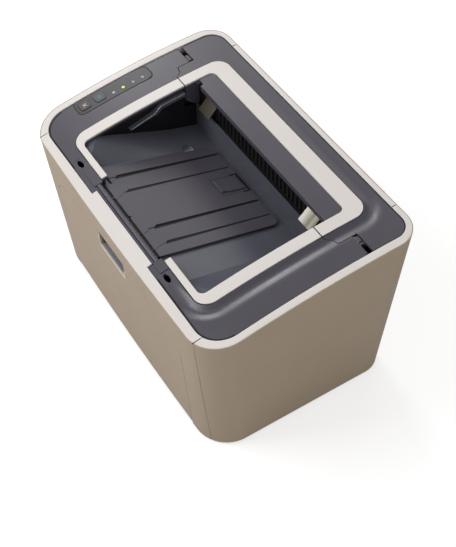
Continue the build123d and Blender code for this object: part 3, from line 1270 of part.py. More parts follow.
with BuildPart() as pinch_rollers:
    rod(-SHAFT_END, SHAFT_END, SHAFT_R, DELIVERY_Y, PINCH_Z)
    with Locations(Location((0, DELIVERY_Y, PINCH_Z), (0, 90, 0))):
        with Locations(*[(0, 0, (i - (DELIVERY_TYRES - 1) / 2) * DELIVERY_PITCH) for i in range(DELIVERY_TYRES)]):
            Cylinder(DELIVERY_R, DELIVERY_TYRE_W)
pinch_rollers.part.label = "pinch_rollers"
export_step(pinch_rollers.part, "parts/pinch_rollers.step")

# Toner cartridge and laser scanner
with BuildPart() as hopper:
    block(-CARTRIDGE_X + CARTRIDGE_END, CARTRIDGE_X - CARTRIDGE_END, CARTRIDGE_FRONT_Y + CARTRIDGE_WALL,
          CARTRIDGE_REAR_Y - CARTRIDGE_WALL, CARTRIDGE_LOW + CARTRIDGE_WALL, CARTRIDGE_HIGH - CARTRIDGE_WALL)
    fillet(hopper.edges().filter_by(Axis.X), CARTRIDGE_WALL)
    block(-DRUM_L / 2, DRUM_L / 2, DRUM_Y - DRUM_R, DRUM_Y + DRUM_R, 0, CARTRIDGE_HIGH - CARTRIDGE_WALL)

with BuildPart() as toner_cartridge:
    block(-CARTRIDGE_X, CARTRIDGE_X, CARTRIDGE_FRONT_Y, CARTRIDGE_REAR_Y, CARTRIDGE_LOW, CARTRIDGE_HIGH)
    fillet(toner_cartridge.edges().filter_by(Axis.X), CARTRIDGE_PIN_R)
    add(hopper.part, mode=Mode.SUBTRACT)
    for side in (-1, 1):
        x_low, x_high = sorted((side * (CARTRIDGE_X - CARTRIDGE_END), side * CARTRIDGE_X))
        add(side_prism([(DRUM_Y - 22, CARTRIDGE_LOW + 5), (DRUM_Y - 12, DRUM_Z - 9), (DRUM_Y + 12, DRUM_Z - 9),
                        (CARTRIDGE_REAR_Y, CARTRIDGE_LOW + 5)], x_low, x_high))
        rod(x_low, x_high, BORE_R, *DRUM_C, mode=Mode.SUBTRACT)
    for y, z in CARTRIDGE_PINS:
        both_sides(rod, CARTRIDGE_X - 1, FRAME_X, CARTRIDGE_PIN_R, y, z)
    # Bail handle at the front
    block(-HANDLE_X, HANDLE_X, CARTRIDGE_FRONT_Y - HANDLE_REACH, CARTRIDGE_FRONT_Y + 1, *HANDLE_Z)
    block(-HANDLE_X + HANDLE_T, HANDLE_X - HANDLE_T, CARTRIDGE_FRONT_Y - HANDLE_REACH + HANDLE_T,
          CARTRIDGE_FRONT_Y, 0, HIGH, mode=Mode.SUBTRACT)
toner_cartridge.part.label = "toner_cartridge"
export_step(toner_cartridge.part, "parts/toner_cartridge.step")

SCANNER_FLOOR = SCANNER_LOW + SCANNER_PLATE
MIRROR_Z = SCANNER_FLOOR + 6

with BuildPart() as scanner_housing:
    block(-FRAME_X, FRAME_X, SCANNER_Y - SCANNER_L / 2, SCANNER_Y + SCANNER_L / 2, SCANNER_LOW, SCANNER_FLOOR)
    block(-SCANNER_X, SCANNER_X, SCANNER_Y - SCANNER_L / 2, SCANNER_Y + SCANNER_L / 2, SCANNER_LOW, SCANNER_HIGH)
    block(-SCANNER_X + SCANNER_WALL, SCANNER_X - SCANNER_WALL, SCANNER_Y - SCANNER_L / 2 + SCANNER_WALL,
          SCANNER_Y + SCANNER_L / 2 - SCANNER_WALL, SCANNER_FLOOR, SCANNER_HIGH - SCANNER_WALL, mode=Mode.SUBTRACT)
    # Beam slot, and the boss of the mirror's motor
    block(-DRUM_L / 2 + 15, DRUM_L / 2 - 15, SCANNER_Y - SCANNER_L / 2 + 4, SCANNER_Y - SCANNER_L / 2 + 8,
          0, SCANNER_FLOOR, mode=Mode.SUBTRACT)
    post(MIRROR_R - 3, MIRROR_X, SCANNER_Y, SCANNER_LOW, MIRROR_Z - 0.5)
    post(2 + RUN_CLEAR, MIRROR_X, SCANNER_Y, SCANNER_FLOOR, HIGH / 2 + 11, mode=Mode.SUBTRACT)
scanner_housing.part.label = "scanner_housing"
export_step(scanner_housing.part, "parts/scanner_housing.step")

with BuildPart() as polygon_mirror:
    with BuildSketch(Plane.XY.offset(MIRROR_Z)):
        with Locations((MIRROR_X, SCANNER_Y)):
            RegularPolygon(MIRROR_R, 6)
    extrude(amount=MIRROR_H)
    post(2, MIRROR_X, SCANNER_Y, SCANNER_FLOOR + 0.5, MIRROR_Z + MIRROR_H + 1)
polygon_mirror.part.label = "polygon_mirror"
export_step(polygon_mirror.part, "parts/polygon_mirror.step")


# Drive train on the right frame plate
def toothed(teeth, centre, phase, x_low, x_high):
    """A spur gear with straight-sided teeth, one tooth pointing along phase."""
    r = pitch_r(teeth)
    flank = tan(radians(20))
    half = (pi * MODULE / 2 - BACKLASH) / 2
    corners = [(r - 1.2 * MODULE, -half - 1.2 * MODULE * flank), (r + 0.95 * MODULE, -half + 0.95 * MODULE * flank),
               (r + 0.95 * MODULE, half - 0.95 * MODULE * flank), (r - 1.2 * MODULE, half + 1.2 * MODULE * flank)]
    points = []
    for i in range(teeth):
        turn = phase + 2 * pi * i / teeth
        for reach, width in corners:
            angle = turn + width / r
            points.append((centre[0] + reach * cos(angle), centre[1] + reach * sin(angle)))
    return side_prism(points, x_low, x_high)


def meshed(centre_a, teeth_a, phase_a, centre_b, teeth_b):
    """Phase of gear b whose teeth fall in the gaps of gear a."""
    line = atan2(centre_b[1] - centre_a[1], centre_b[0] - centre_a[0])
    return line + pi - (pi - (line - phase_a) * teeth_a) / teeth_b


PHASE_A = meshed(DRUM_C, DRUM_TEETH, 0, IDLER_A_C, IDLER_A_TEETH)
PHASE_B = meshed(DRUM_C, DRUM_TEETH, 0, IDLER_B_C, IDLER_B_TEETH)
PHASE_PINION = meshed(IDLER_A_C, IDLER_A_TEETH, PHASE_A, PINION_C, PINION_TEETH)
PHASE_FUSER = meshed(IDLER_B_C, IDLER_B_TEETH, PHASE_B, FUSER_C, FUSER_TEETH)
GEAR_END = GEAR_X + GEAR_W

with BuildPart() as drum_gear:
    add(toothed(DRUM_TEETH, DRUM_C, 0, GEAR_X, GEAR_END))
    rod(DRUM_HUB_X, GEAR_X + 1, HUB_R, *DRUM_C)
    rod(GEAR_X, PLATE_OUT + 0.5, AXLE_R, *DRUM_C)
drum_gear.part.label = "drum_gear"
export_step(drum_gear.part, "parts/drum_gear.step")

for name, teeth, centre, phase in (("idler_gear_a", IDLER_A_TEETH, IDLER_A_C, PHASE_A),
                                   ("idler_gear_b", IDLER_B_TEETH, IDLER_B_C, PHASE_B)):
    with BuildPart() as idler:
        add(toothed(teeth, centre, phase, GEAR_X, GEAR_END))
        rod(GEAR_X - 1, PLATE_GEAR_X - 1, HUB_R, *centre)
        rod(GEAR_X - 2, PLATE_OUT, AXLE_R + RUN_CLEAR, *centre, mode=Mode.SUBTRACT)
    idler.part.label = name
    export_step(idler.part, f"parts/{name}.step")

with BuildPart() as motor_pinion:
    add(toothed(PINION_TEETH, PINION_C, PHASE_PINION, GEAR_X, GEAR_END))
    rod(GEAR_X, PLATE_OUT + 4, MOTOR_SHAFT_R, *PINION_C)
motor_pinion.part.label = "motor_pinion"
export_step(motor_pinion.part, "parts/motor_pinion.step")

with BuildPart() as fuser_gear:
    add(toothed(FUSER_TEETH, FUSER_C, PHASE_FUSER, GEAR_X, GEAR_END))
    rod(GEAR_X, BELT_X + BELT_W, HUB_R, *FUSER_C)
    rod(BELT_X, BELT_X + BELT_W, FUSER_PULLEY_R, *FUSER_C)
    rod(FRAME_X, SHAFT_FAR, SHAFT_R, *FUSER_C, mode=Mode.SUBTRACT)
fuser_gear.part.label = "fuser_gear"
export_step(fuser_gear.part, "parts/fuser_gear.step")

with BuildPart() as delivery_pulley:
    rod(BELT_X, BELT_X + BELT_W, DELIVERY_PULLEY_R, DELIVERY_Y, DELIVERY_Z)
    rod(FRAME_X, SHAFT_FAR, SHAFT_R, DELIVERY_Y, DELIVERY_Z, mode=Mode.SUBTRACT)
delivery_pulley.part.label = "delivery_pulley"
export_step(delivery_pulley.part, "parts/delivery_pulley.step")

with BuildPart() as drive_belt:
    for grow, mode in ((BELT_GAP + BELT_T, Mode.ADD), (BELT_GAP, Mode.SUBTRACT)):
        with BuildSketch(Plane.YZ.offset(BELT_X)):
            with Locations(FUSER_C):
                Circle(FUSER_PULLEY_R + grow)
            with Locations((DELIVERY_Y, DELIVERY_Z)):
                Circle(DELIVERY_PULLEY_R + grow)
            make_hull()
        extrude(amount=BELT_W, mode=mode)
drive_belt.part.label = "drive_belt"
export_step(drive_belt.part, "parts/drive_belt.step")

with BuildPart() as motor_plate:
    add(side_prism([(DRUM_Y + y, z) for y, z in PLATE_CORNERS], PLATE_GEAR_X, PLATE_OUT))
    for y, z in PLATE_POSTS:
        rod(FRAME_OUT, PLATE_GEAR_X, AXLE_R, DRUM_Y + y, z)
    for centre in (IDLER_A_C, IDLER_B_C):
        rod(PLATE_GEAR_X, PLATE_OUT, AXLE_R, *centre, mode=Mode.SUBTRACT)
    rod(PLATE_GEAR_X, PLATE_OUT, AXLE_R + RUN_CLEAR, *DRUM_C, mode=Mode.SUBTRACT)
    rod(PLATE_GEAR_X, PLATE_OUT, MOTOR_SHAFT_R + RUN_CLEAR, *PINION_C, mode=Mode.SUBTRACT)
motor_plate.part.label = "motor_plate"
export_step(motor_plate.part, "parts/motor_plate.step")

with BuildPart() as drive_motor:
    rod(PLATE_OUT, PLATE_OUT + MOTOR_L, MOTOR_R, *PINION_C)
    fillet(drive_motor.faces().sort_by(Axis.X)[-1].edges(), MOTOR_SHAFT_R)
    rod(PLATE_OUT, PLATE_OUT + 5, MOTOR_SHAFT_R + RUN_CLEAR, *PINION_C, mode=Mode.SUBTRACT)
drive_motor.part.label = "drive_motor"
export_step(drive_motor.part, "parts/drive_motor.step")

# Boards on standoffs from the left frame plate
CONTROLLER_IN = -CONTROLLER_X + BOARD_T / 2
POWER_IN = -POWER_X + BOARD_T / 2

with BuildPart() as controller_board:
    with Locations((-CONTROLLER_X, CONTROLLER_Y, CONTROLLER_Z)):
        Box(BOARD_T, CONTROLLER_L, CONTROLLER_H)
    for y, z in CONTROLLER_POSTS:
        rod(CONTROLLER_IN, -FRAME_OUT, SHAFT_R, CONTROLLER_Y + y, z)
    for y, z, length, height, tall in CONTROLLER_CHIPS:
        block(-CONTROLLER_X - BOARD_T / 2 - tall, -CONTROLLER_X - BOARD_T / 2, CONTROLLER_Y + y - length / 2,
              CONTROLLER_Y + y + length / 2, z - height / 2, z + height / 2)
controller_board.part.label = "controller_board"
export_step(controller_board.part, "parts/controller_board.step")

with BuildPart() as power_board:
    with Locations((-POWER_X, POWER_Y, POWER_Z)):
        Box(BOARD_T, POWER_L, POWER_H)
    for y, z in POWER_POSTS:
        rod(POWER_IN, -FRAME_OUT, SHAFT_R, y, z)
    block(POWER_IN, POWER_IN + 20, *TRANSFORMER_Y, *TRANSFORMER_Z)
    for y, z in CAPACITORS:
        rod(POWER_IN, POWER_IN + 18, CAPACITOR_R, y, z)
power_board.part.label = "power_board"
export_step(power_board.part, "parts/power_board.step")

USB_FACE_Y = rear_y(USB_Z)

with BuildPart() as usb_port:
    block(USB_X - USB_W / 2, USB_X + USB_W / 2, USB_FACE_Y - USB_DEPTH, USB_FACE_Y,
          USB_Z - USB_H / 2, USB_Z + USB_H / 2)
    block(USB_X - USB_W / 2 + 1, USB_X + USB_W / 2 - 1, USB_FACE_Y - USB_DEPTH + 2, DEPTH,
          USB_Z - USB_H / 2 + 1, USB_Z + USB_H / 2 - 1, mode=Mode.SUBTRACT)
    block(USB_X - 2.5, USB_X + 2.5, USB_FACE_Y - USB_DEPTH + 1, USB_FACE_Y - 3, USB_Z - 1.5, USB_Z + 1.5)
usb_port.part.label = "usb_port"
export_step(usb_port.part, "parts/usb_port.step")

INLET_FACE_Y = rear_y(INLET_Z)

with BuildPart() as power_inlet:
    block(INLET_X - INLET_W / 2, INLET_X + INLET_W / 2, INLET_FACE_Y - INLET_DEPTH, INLET_FACE_Y,
          INLET_Z - INLET_H / 2, INLET_Z + INLET_H / 2)
    with BuildSketch(Plane.XZ.offset(-INLET_FACE_Y)):
        with Locations((INLET_X, INLET_Z)):
            Rectangle(INLET_W - 6, INLET_H - 5)
    extrude(amount=INLET_DEPTH - 3, mode=Mode.SUBTRACT)
    for x, z in ((-6, -2), (6, -2), (0, 3)):
        block(INLET_X + x - 0.9, INLET_X + x + 0.9, INLET_FACE_Y - INLET_DEPTH + 1, INLET_FACE_Y - 4,
              INLET_Z + z - 2, INLET_Z + z + 2)
power_inlet.part.label = "power_inlet"
export_step(power_inlet.part, "parts/power_inlet.step")

SWITCH_PIN_Y = rear_y(INLET_Z) - SWITCH_DEPTH / 2

with BuildPart() as power_switch:
    with BuildSketch(Plane.XY.offset(INLET_Z - SWITCH_H / 2 + GUIDE_GAP)):
        with BuildLine():
            Polyline((SWITCH_X - SWITCH_W / 2 + 1.2, SWITCH_PIN_Y), (SWITCH_X - SWITCH_W / 2 + 2.4, SWITCH_PIN_Y + 8),
                     (SWITCH_X, SWITCH_PIN_Y + 5), (SWITCH_X + SWITCH_W / 2 - 1.2, SWITCH_PIN_Y + 4.2),
                     (SWITCH_X + SWITCH_W / 2 - 1.2, SWITCH_PIN_Y), close=True)
        make_face()
        with Locations((SWITCH_X, SWITCH_PIN_Y)):
            Circle(SWITCH_PIVOT_R)
    extrude(amount=SWITCH_H - 2 * GUIDE_GAP)
power_switch.part.label = "power_switch"
export_step(power_switch.part, "parts/power_switch.step")

HEAD_Y = rear_y(SCREW_Z) - SCREW_SINK

with BuildPart() as cover_screws:
    for x in SCREW_X:
        bolt(SCREW_HEAD_R, x, SCREW_Z, HEAD_Y, HEAD_Y + SCREW_SINK)
        bolt(SCREW_R, x, SCREW_Z, HEAD_Y - SCREW_L, HEAD_Y)
        with Locations((x, HEAD_Y + SCREW_SINK, SCREW_Z)):
            Box(SCREW_HEAD_R, 1, 0.8, mode=Mode.SUBTRACT)
            Box(0.8, 1, SCREW_HEAD_R, mode=Mode.SUBTRACT)
cover_screws.part.label = "cover_screws"
export_step(cover_screws.part, "parts/cover_screws.step")
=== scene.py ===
"""Dresses the laser printer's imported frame: moulded finishes, softened edges and fine moulded detail.

The frame is the CAD model's: X to the right seen from the front, Y to the back, Z up. Surfaces,
finishes, lamps and the camera are in metres. Plans drawn on the surfaces, and heights above them,
are in millimetres.
"""
import math

import bmesh
import bpy
from mathutils import Matrix, Vector
from mathutils.bvhtree import BVHTree


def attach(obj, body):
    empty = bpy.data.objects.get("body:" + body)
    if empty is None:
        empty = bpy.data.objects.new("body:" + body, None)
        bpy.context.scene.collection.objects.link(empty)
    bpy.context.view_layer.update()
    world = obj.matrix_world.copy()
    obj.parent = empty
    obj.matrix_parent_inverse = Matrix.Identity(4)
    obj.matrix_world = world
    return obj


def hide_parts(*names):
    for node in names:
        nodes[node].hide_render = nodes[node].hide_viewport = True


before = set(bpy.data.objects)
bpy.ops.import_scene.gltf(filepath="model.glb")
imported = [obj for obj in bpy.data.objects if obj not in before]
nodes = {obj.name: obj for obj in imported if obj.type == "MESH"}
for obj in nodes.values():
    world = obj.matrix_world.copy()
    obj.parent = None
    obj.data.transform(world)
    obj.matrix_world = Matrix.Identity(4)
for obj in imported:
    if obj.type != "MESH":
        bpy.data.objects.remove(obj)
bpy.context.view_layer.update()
scene = bpy.context.scene
scene.view_settings.view_transform = "Standard"

# Places that finishes and pieces share, in mm
BUTTON_X = -169.0
CANCEL_Y = -61.9
GO_Y = -43.2
LENS_X = -164.5
LENS_Y = (-27.6, -15.5, -2.9, 9.1)
HOLLOW = (-90.5, 21.0)

# Edges that a mould leaves, in metres
SHELL_EDGE = 0.0005
COVER_EDGE = 0.0004
PART_EDGE = 0.0003
TRIM_EDGE = 0.0002
LINE_EDGE = 0.0001


# Colours and material nodes
def linear(code):
    """An sRGB hex colour as linear red, green, blue and alpha."""
    parts = [int(code[i : i + 2], 16) / 255 for i in (0, 2, 4)]
    return (*(c / 12.92 if c <= 0.04045 else ((c + 0.055) / 1.055) ** 2.4 for c in parts), 1)


def add(tree, kind, inputs=None, **settings):
    """Add a node with its settings, its values and the sockets that feed it."""
    node = tree.nodes.new(kind)
    for name, value in settings.items():
        setattr(node, name, value)
    for name, value in (inputs or {}).items():
        if isinstance(value, bpy.types.NodeSocket):
            tree.links.new(value, node.inputs[name])
        else:
            node.inputs[name].default_value = value
    return node


def found(tree, kind):
    """The tree's node of a kind."""
    return next(node for node in tree.nodes if node.bl_idname == kind)


def surface(name, values):
    """A new material: the material, its tree, its shader with plain values, and Object coordinates."""
    made = bpy.data.materials.new(name)
    made.use_nodes = True
    tree = made.node_tree
    tree.nodes.clear()
    shader = add(tree, "ShaderNodeBsdfPrincipled", values)
    add(tree, "ShaderNodeOutputMaterial", {"Surface": shader.outputs["BSDF"]})
    where = add(tree, "ShaderNodeTexCoord").outputs["Object"]
    return made, tree, shader, where


# A Mix node's sockets for colours: its two inputs and its result
FIRST, SECOND, MIXED = 6, 7, 2
# Patches in which moulded colour and gloss drift
COLOUR_PATCH = 0.06
GLOSS_PATCH = 0.012
# A spark-eroded mould's grain is about 0.15 mm across. It is drawn at 0.9 mm, since finer would not show
MOULD_GRAIN = 0.0009


def moulded(name, light, dark, rough, grit=MOULD_GRAIN, depth=0.00003, ior=1.53, coat=0.0):
    """Moulded plastic or rubber: slow colour drift, bumped grain, and gloss that varies in patches."""
    made, tree, shader, where = surface(name, {"IOR": ior, "Coat Weight": coat, "Coat Roughness": 0.25})
    drift = add(tree, "ShaderNodeTexNoise", {"Vector": where, "Scale": 1 / COLOUR_PATCH, "Detail": 3.0})
    ends = {"Factor": drift.outputs["Fac"], FIRST: linear(light), SECOND: linear(dark)}
    colour = add(tree, "ShaderNodeMix", ends, data_type="RGBA")
    tree.links.new(colour.outputs[MIXED], shader.inputs["Base Color"])
    pits = add(tree, "ShaderNodeTexNoise", {"Vector": where, "Scale": 1 / grit, "Detail": 2.0})
    bump = add(tree, "ShaderNodeBump", {"Height": pits.outputs["Fac"], "Distance": depth})
    tree.links.new(bump.outputs["Normal"], shader.inputs["Normal"])
    wear = add(tree, "ShaderNodeTexNoise", {"Vector": where, "Scale": 1 / GLOSS_PATCH, "Detail": 4.0})
    gloss = add(tree, "ShaderNodeMapRange",
                {"Value": wear.outputs["Fac"], "To Min": rough - 0.05, "To Max": rough + 0.05})
    tree.links.new(gloss.outputs["Result"], shader.inputs["Roughness"])
    return made


# Drawn scratches are about 0.05 mm wide. They are drawn at 0.8 mm, since finer would not show
SCRATCH = 0.0008
SCRATCH_STRETCH = 0.03


def rolled(name, colour, rough, along):
    """Metal with fine drawn scratches along one axis."""
    made, tree, shader, where = surface(name, {"Metallic": 1.0, "Base Color": linear(colour)})
    stretch = [1, 1, 1]
    stretch[along] = SCRATCH_STRETCH
    lines = add(tree, "ShaderNodeMapping", {"Vector": where, "Scale": stretch})
    noise = add(tree, "ShaderNodeTexNoise",
                {"Vector": lines.outputs["Vector"], "Scale": 1 / SCRATCH, "Detail": 3.0})
    gloss = add(tree, "ShaderNodeMapRange",
                {"Value": noise.outputs["Fac"], "To Min": rough - 0.08, "To Max": rough + 0.08})
    tree.links.new(gloss.outputs["Result"], shader.inputs["Roughness"])
    bump = add(tree, "ShaderNodeBump", {"Height": noise.outputs["Fac"], "Distance": 0.00001})
    tree.links.new(bump.outputs["Normal"], shader.inputs["Normal"])
    return made


# Lamp lenses: clear acrylic, smooth and bright. The second glows green, and the other three look pale.
# Four equal bands in depth, from -33.5 to 15 mm, hold one lens each
lens, tree, shader, where = surface("clear acrylic lamp lens", {"Roughness": 0.15, "IOR": 1.49})
depth_along = add(tree, "ShaderNodeSeparateXYZ", {"Vector": where}).outputs["Y"]
share = add(tree, "ShaderNodeMapRange", {"Value": depth_along, "From Min": -0.0335, "From Max": 0.015})
for colours, sockets in (
    (("C6C9C6", "B6E92E", "B4B8B4"), ("Base Color", "Emission Color")),
    (("000000", "E0E0E0", "000000"), ("Emission Strength",)),
):
    band = add(tree, "ShaderNodeValToRGB", {"Fac": share.outputs["Result"]})
    band.color_ramp.interpolation = "CONSTANT"
    steps = band.color_ramp.elements
    steps[0].color = linear(colours[0])
    steps[1].position = 0.25
    steps[1].color = linear(colours[1])
    steps.new(0.5).color = linear(colours[2])
    for socket in sockets:
        tree.links.new(band.outputs["Color"], shader.inputs[socket])

FINISH = {
    # Case walls: ABS from a spark-eroded mould, whose fine matt grain gives a soft wide sheen
    "taupe_shell": moulded("moulded taupe ABS", "BFAC95", "B7A48D", 0.46),
    # Rims and ring: off-white ABS from a finer mould, a little smoother to the eye than the walls
    "cream_trim": moulded("moulded cream ABS", "EAE4E0", "E4DDD8", 0.42, depth=0.00002),
    # Top covers, flap and stop: dark grey ABS, finely grained, glossy enough to catch a long highlight
    "dark_top": moulded("moulded graphite ABS", "524F58", "4B4851", 0.35, depth=0.000015),
    # Output bin: ABS in a bluer grey and the glossiest of the covers, so it carries soft reflections
    "bin_grey": moulded("moulded slate ABS", "5C5D68", "545560", 0.30, depth=0.000015),
    # Control panel: nearly black ABS, almost without grain, so its edge and marks look crisp
    "panel_dark": moulded("smooth graphite ABS", "38363B", "333136", 0.38, depth=0.000008),
    # Button caps: dark satin ABS, tinted red for cancel and teal for go
    "cancel_cap": moulded("reddish grey ABS cap", "4A4044", "443A3E", 0.38, depth=0.00001),
    "go_cap": moulded("teal ABS cap", "3F4C50", "39464A", 0.38, depth=0.00001),
    "led_lens": lens,
    # Pocket behind the handle: grey satin ABS that shows a soft gleam in the shade
    "pocket_grey": moulded("grey satin ABS", "8C8D96", "80818B", 0.28, depth=0.000008),
    # Inner works and shadow gaps: glass-filled nylon, chalky black with hardly any gleam
    "black_plastic": moulded("black glass-filled nylon", "141415", "101011", 0.6, ior=1.42),
    # Exit plates: polished ivory ABS with bright sharp reflections
    "ivory_plate": moulded("polished ivory ABS", "F2EEE2", "ECE7DA", 0.18, depth=0.000004),
    # Feet, rollers and belt: soft moulded rubber, black and dull
    "foot_rubber": moulded("soft black rubber", "242424", "1C1C1C", 0.75, 0.0007, 0.00005, 1.52),
    # Transfer, delivery and pinch rollers: open-cell foam, whose pores look like a rough dark skin
    "roller_foam": moulded("open-cell roller foam", "2E2E30", "222224", 0.9, 0.0008, 0.0002, 1.45),
    # Separation pad: pressed cork rubber, brown and matt with coarse crumbs
    "cork_pad": moulded("pressed cork rubber", "7D5C3D", "63452B", 0.85, 0.0015, 0.0001, 1.45),
    # Fuser rollers: silicone rubber, orange brown with a dull sheen
    "fuser_rubber": moulded("fuser silicone rubber", "A2603E", "96583A", 0.5, depth=0.00001, ior=1.43),
    # Gears: moulded acetal, waxy white
    "gear_nylon": moulded("moulded white acetal", "E4E2D8", "DAD7CB", 0.35, depth=0.000006, ior=1.48),
    # Photo drum: dip-coated tube, deep teal under a thin glossy coat
    "drum_coat": moulded("dip-coated photo drum", "1F7680", "1C6D77", 0.12, depth=0.000002, coat=0.6),
    # Circuit boards: glass-epoxy under green lacquer, shiny with a faint weave
    "board_green": moulded("green lacquered board", "1E5A34", "17492A", 0.3, depth=0.00002, coat=0.4),
    # Frame plates: cold-rolled galvanised sheet with upright streaks
    "sheet_steel": rolled("galvanised sheet steel", "B4B6B8", 0.38, 2),
    # Pins, screws and the bin shelf's edge: turned steel, bright with streaks along X
    "turned_steel": rolled("turned steel", "C2C3C5", 0.28, 0),
    # Scanner mirror: polished aluminium, close to a clear mirror
    "mirror_metal": rolled("polished aluminium mirror", "E2E4E6", 0.1, 2),
}


def tinted(material, colour, *rows):
    """Lay a flat colour over a material where the last of some rows of sums is 1.

    Each row names its result, its operation and its values, which are numbers, earlier results, or
    x and y from the Object coordinates. RAMP goes from 0 at its second value to 1 at its third.
    """
    tree = material.node_tree
    where = add(tree, "ShaderNodeTexCoord").outputs["Object"]
    axes = add(tree, "ShaderNodeSeparateXYZ", {"Vector": where}).outputs
    known = {"x": axes["X"], "y": axes["Y"]}
    for name, operation, *values in rows:
        fed = [known.get(value, value) for value in values]
        if operation == "RAMP":
            step = add(tree, "ShaderNodeMapRange", {"Value": fed[0], "From Min": fed[1], "From Max": fed[2]})
        else:
            step = add(tree, "ShaderNodeMath", dict(enumerate(fed)), operation=operation)
        known[name] = step.outputs[0]
    shader = found(tree, "ShaderNodeBsdfPrincipled")
    under = shader.inputs["Base Color"].links[0].from_socket
    ends = {"Factor": known[name], FIRST: under, SECOND: linear(colour)}
    mix = add(tree, "ShaderNodeMix", ends, data_type="RGBA")
    tree.links.new(mix.outputs[MIXED], shader.inputs["Base Color"])


# A plain white cross printed on the cancel button, 4.6 mm wide, in lines about 0.8 mm wide
tinted(
    FINISH["cancel_cap"], "CDBFC6",
    ("across", "SUBTRACT", "x", BUTTON_X / 1000),
    ("across", "ABSOLUTE", "across"),
    ("along", "SUBTRACT", "y", CANCEL_Y / 1000),
    ("along", "ABSOLUTE", "along"),
    ("reach", "MAXIMUM", "across", "along"),
    ("within", "LESS_THAN", "reach", 0.0023),
    ("slant", "SUBTRACT", "across", "along"),
    ("slant", "ABSOLUTE", "slant"),
    ("line", "LESS_THAN", "slant", 0.0006),
    ("cross", "MULTIPLY", "line", "within"),
)
# A plain diamond's outline on the go button, about 4 mm wide
tinted(
    FINISH["go_cap"], "66868A",
    ("across", "SUBTRACT", "x", BUTTON_X / 1000),
    ("across", "ABSOLUTE", "across"),
    ("along", "SUBTRACT", "y", GO_Y / 1000),
    ("along", "ABSOLUTE", "along"),
    ("away", "ADD", "across", "along"),
    ("away", "SUBTRACT", "away", 0.0021),
    ("away", "ABSOLUTE", "away"),
    ("line", "LESS_THAN", "away", 0.0004),
)
# Painted shade: the right exit plate is painted darker toward its side, as shading on its curved face, and
# the left one is painted brown, as the ivory plate in shade
for near, far, colour in ((0.090, 0.099, "8F8873"), (0.1, 0.103, "B9B39E"), (0.104, 0.108, "6A634F")):
    tinted(FINISH["ivory_plate"], colour, ("side", "RAMP", "x", near, far))
tinted(FINISH["ivory_plate"], "4A4238", ("left", "LESS_THAN", "x", 0.0))
# Painted shade: the bin's side walls are painted nearly black, as shade inside the bin
tinted(
    FINISH["bin_grey"], "141418",
    ("aside", "ABSOLUTE", "x"),
    ("wall", "RAMP", "aside", 0.1244, 0.1249),
)
# Painted highlight: the finger hollow beside the flap is painted brighter toward its right
tinted(
    FINISH["bin_grey"], "A9A9B8",
    ("across", "SUBTRACT", "x", HOLLOW[0] / 1000),
    ("along", "SUBTRACT", "y", HOLLOW[1] / 1000),
    ("across squared", "POWER", "across", 2.0),
    ("along squared", "POWER", "along", 2.0),
    ("away", "ADD", "across squared", "along squared"),
    ("away", "SQRT", "away"),
    ("inside", "RAMP", "away", 0.0064, 0.0054),
    ("right", "RAMP", "across", -0.003, 0.004),
    ("gleam", "MULTIPLY", "inside", "right"),
)

# Softened edges
SMOOTH = bpy.data.node_groups.new("smooth shading", "GeometryNodeTree")
SMOOTH.interface.new_socket("Geometry", in_out="INPUT", socket_type="NodeSocketGeometry")
SMOOTH.interface.new_socket("Geometry", in_out="OUTPUT", socket_type="NodeSocketGeometry")
start = add(SMOOTH, "NodeGroupInput")
shade = add(SMOOTH, "GeometryNodeSetShadeSmooth", {"Geometry": start.outputs[0]})
add(SMOOTH, "NodeGroupOutput", {0: shade.outputs[0]})

# Corners closer than this, in metres, are one corner of the CAD's loose triangles
ONE_CORNER = 0.00002
# Turns gentler than FLAT are one flat face, and turns sharper than SHARP are rounded
FLAT = math.radians(0.3)
SHARP = math.radians(30)


def soften(node, width):
    """Join a CAD node's loose triangles and round its edges by width metres, as a mould does."""
    weld = node.modifiers.new("joined", "WELD")
    weld.merge_threshold = ONE_CORNER
    flat = node.modifiers.new("flat faces", "DECIMATE")
    flat.decimate_type = "DISSOLVE"
    flat.angle_limit = FLAT
    node.modifiers.new("smooth", "NODES").node_group = SMOOTH
    edge = node.modifiers.new("rounded edges", "BEVEL")
    edge.width = width
    edge.segments = 2
    edge.limit_method = "ANGLE"
    edge.angle_limit = SHARP
    node.modifiers.new("even shading", "WEIGHTED_NORMAL")


# Outer shells have wide soft edges. The front cover and its rim have small ones, because wide ones make
# the long line where they meet look jagged
for name, node in nodes.items():
    slot = node.material_slots[0].material.name
    node.data.materials[0] = FINISH[slot]
    shell = slot in ("taupe_shell", "cream_trim", "dark_top") and name not in ("front_cover", "rim_front")
    soften(node, SHELL_EDGE if shell else TRIM_EDGE)


# The surfaces that detail lies on, in metres: depth and height along the crowned top, then two slopes
CROWN = (
    (-0.112, 0.1923), (-0.101, 0.1948), (-0.089, 0.1975), (0.0, 0.213), (0.039, 0.2175),
    (0.066, 0.2198), (0.0955, 0.2216), (0.1155, 0.22235),
)
BIN_SLOPE = -0.254
FLAP_START = (-0.101, 0.19106)
BIN_START = (-0.091, 0.1855)
WALL_X = -0.1247


def crown_z(y):
    """Height of the crowned top at depth y."""
    for (y0, z0), (y1, z1) in zip(CROWN, CROWN[1:]):
        if y <= y1 or y1 == CROWN[-1][0]:
            return z0 + (z1 - z0) * (y - y0) / (y1 - y0)


def on_crown(x, y, up):
    """A place above the crowned top."""
    return x, y, crown_z(y) + up


def on_flap(x, y, up):
    """A place above the folded flap."""
    return x, y, FLAP_START[1] + BIN_SLOPE * (y - FLAP_START[0]) + up


def on_bin(x, y, up):
    """A place above the bin's floor."""
    return x, y, BIN_START[1] + BIN_SLOPE * (y - BIN_START[0]) + up


def on_left_wall(y, z, out):
    """A place off the bin's left wall."""
    return WALL_X + out, y, z


def on_floor(x, y, up):
    """A place above the floor."""
    return x, y, up


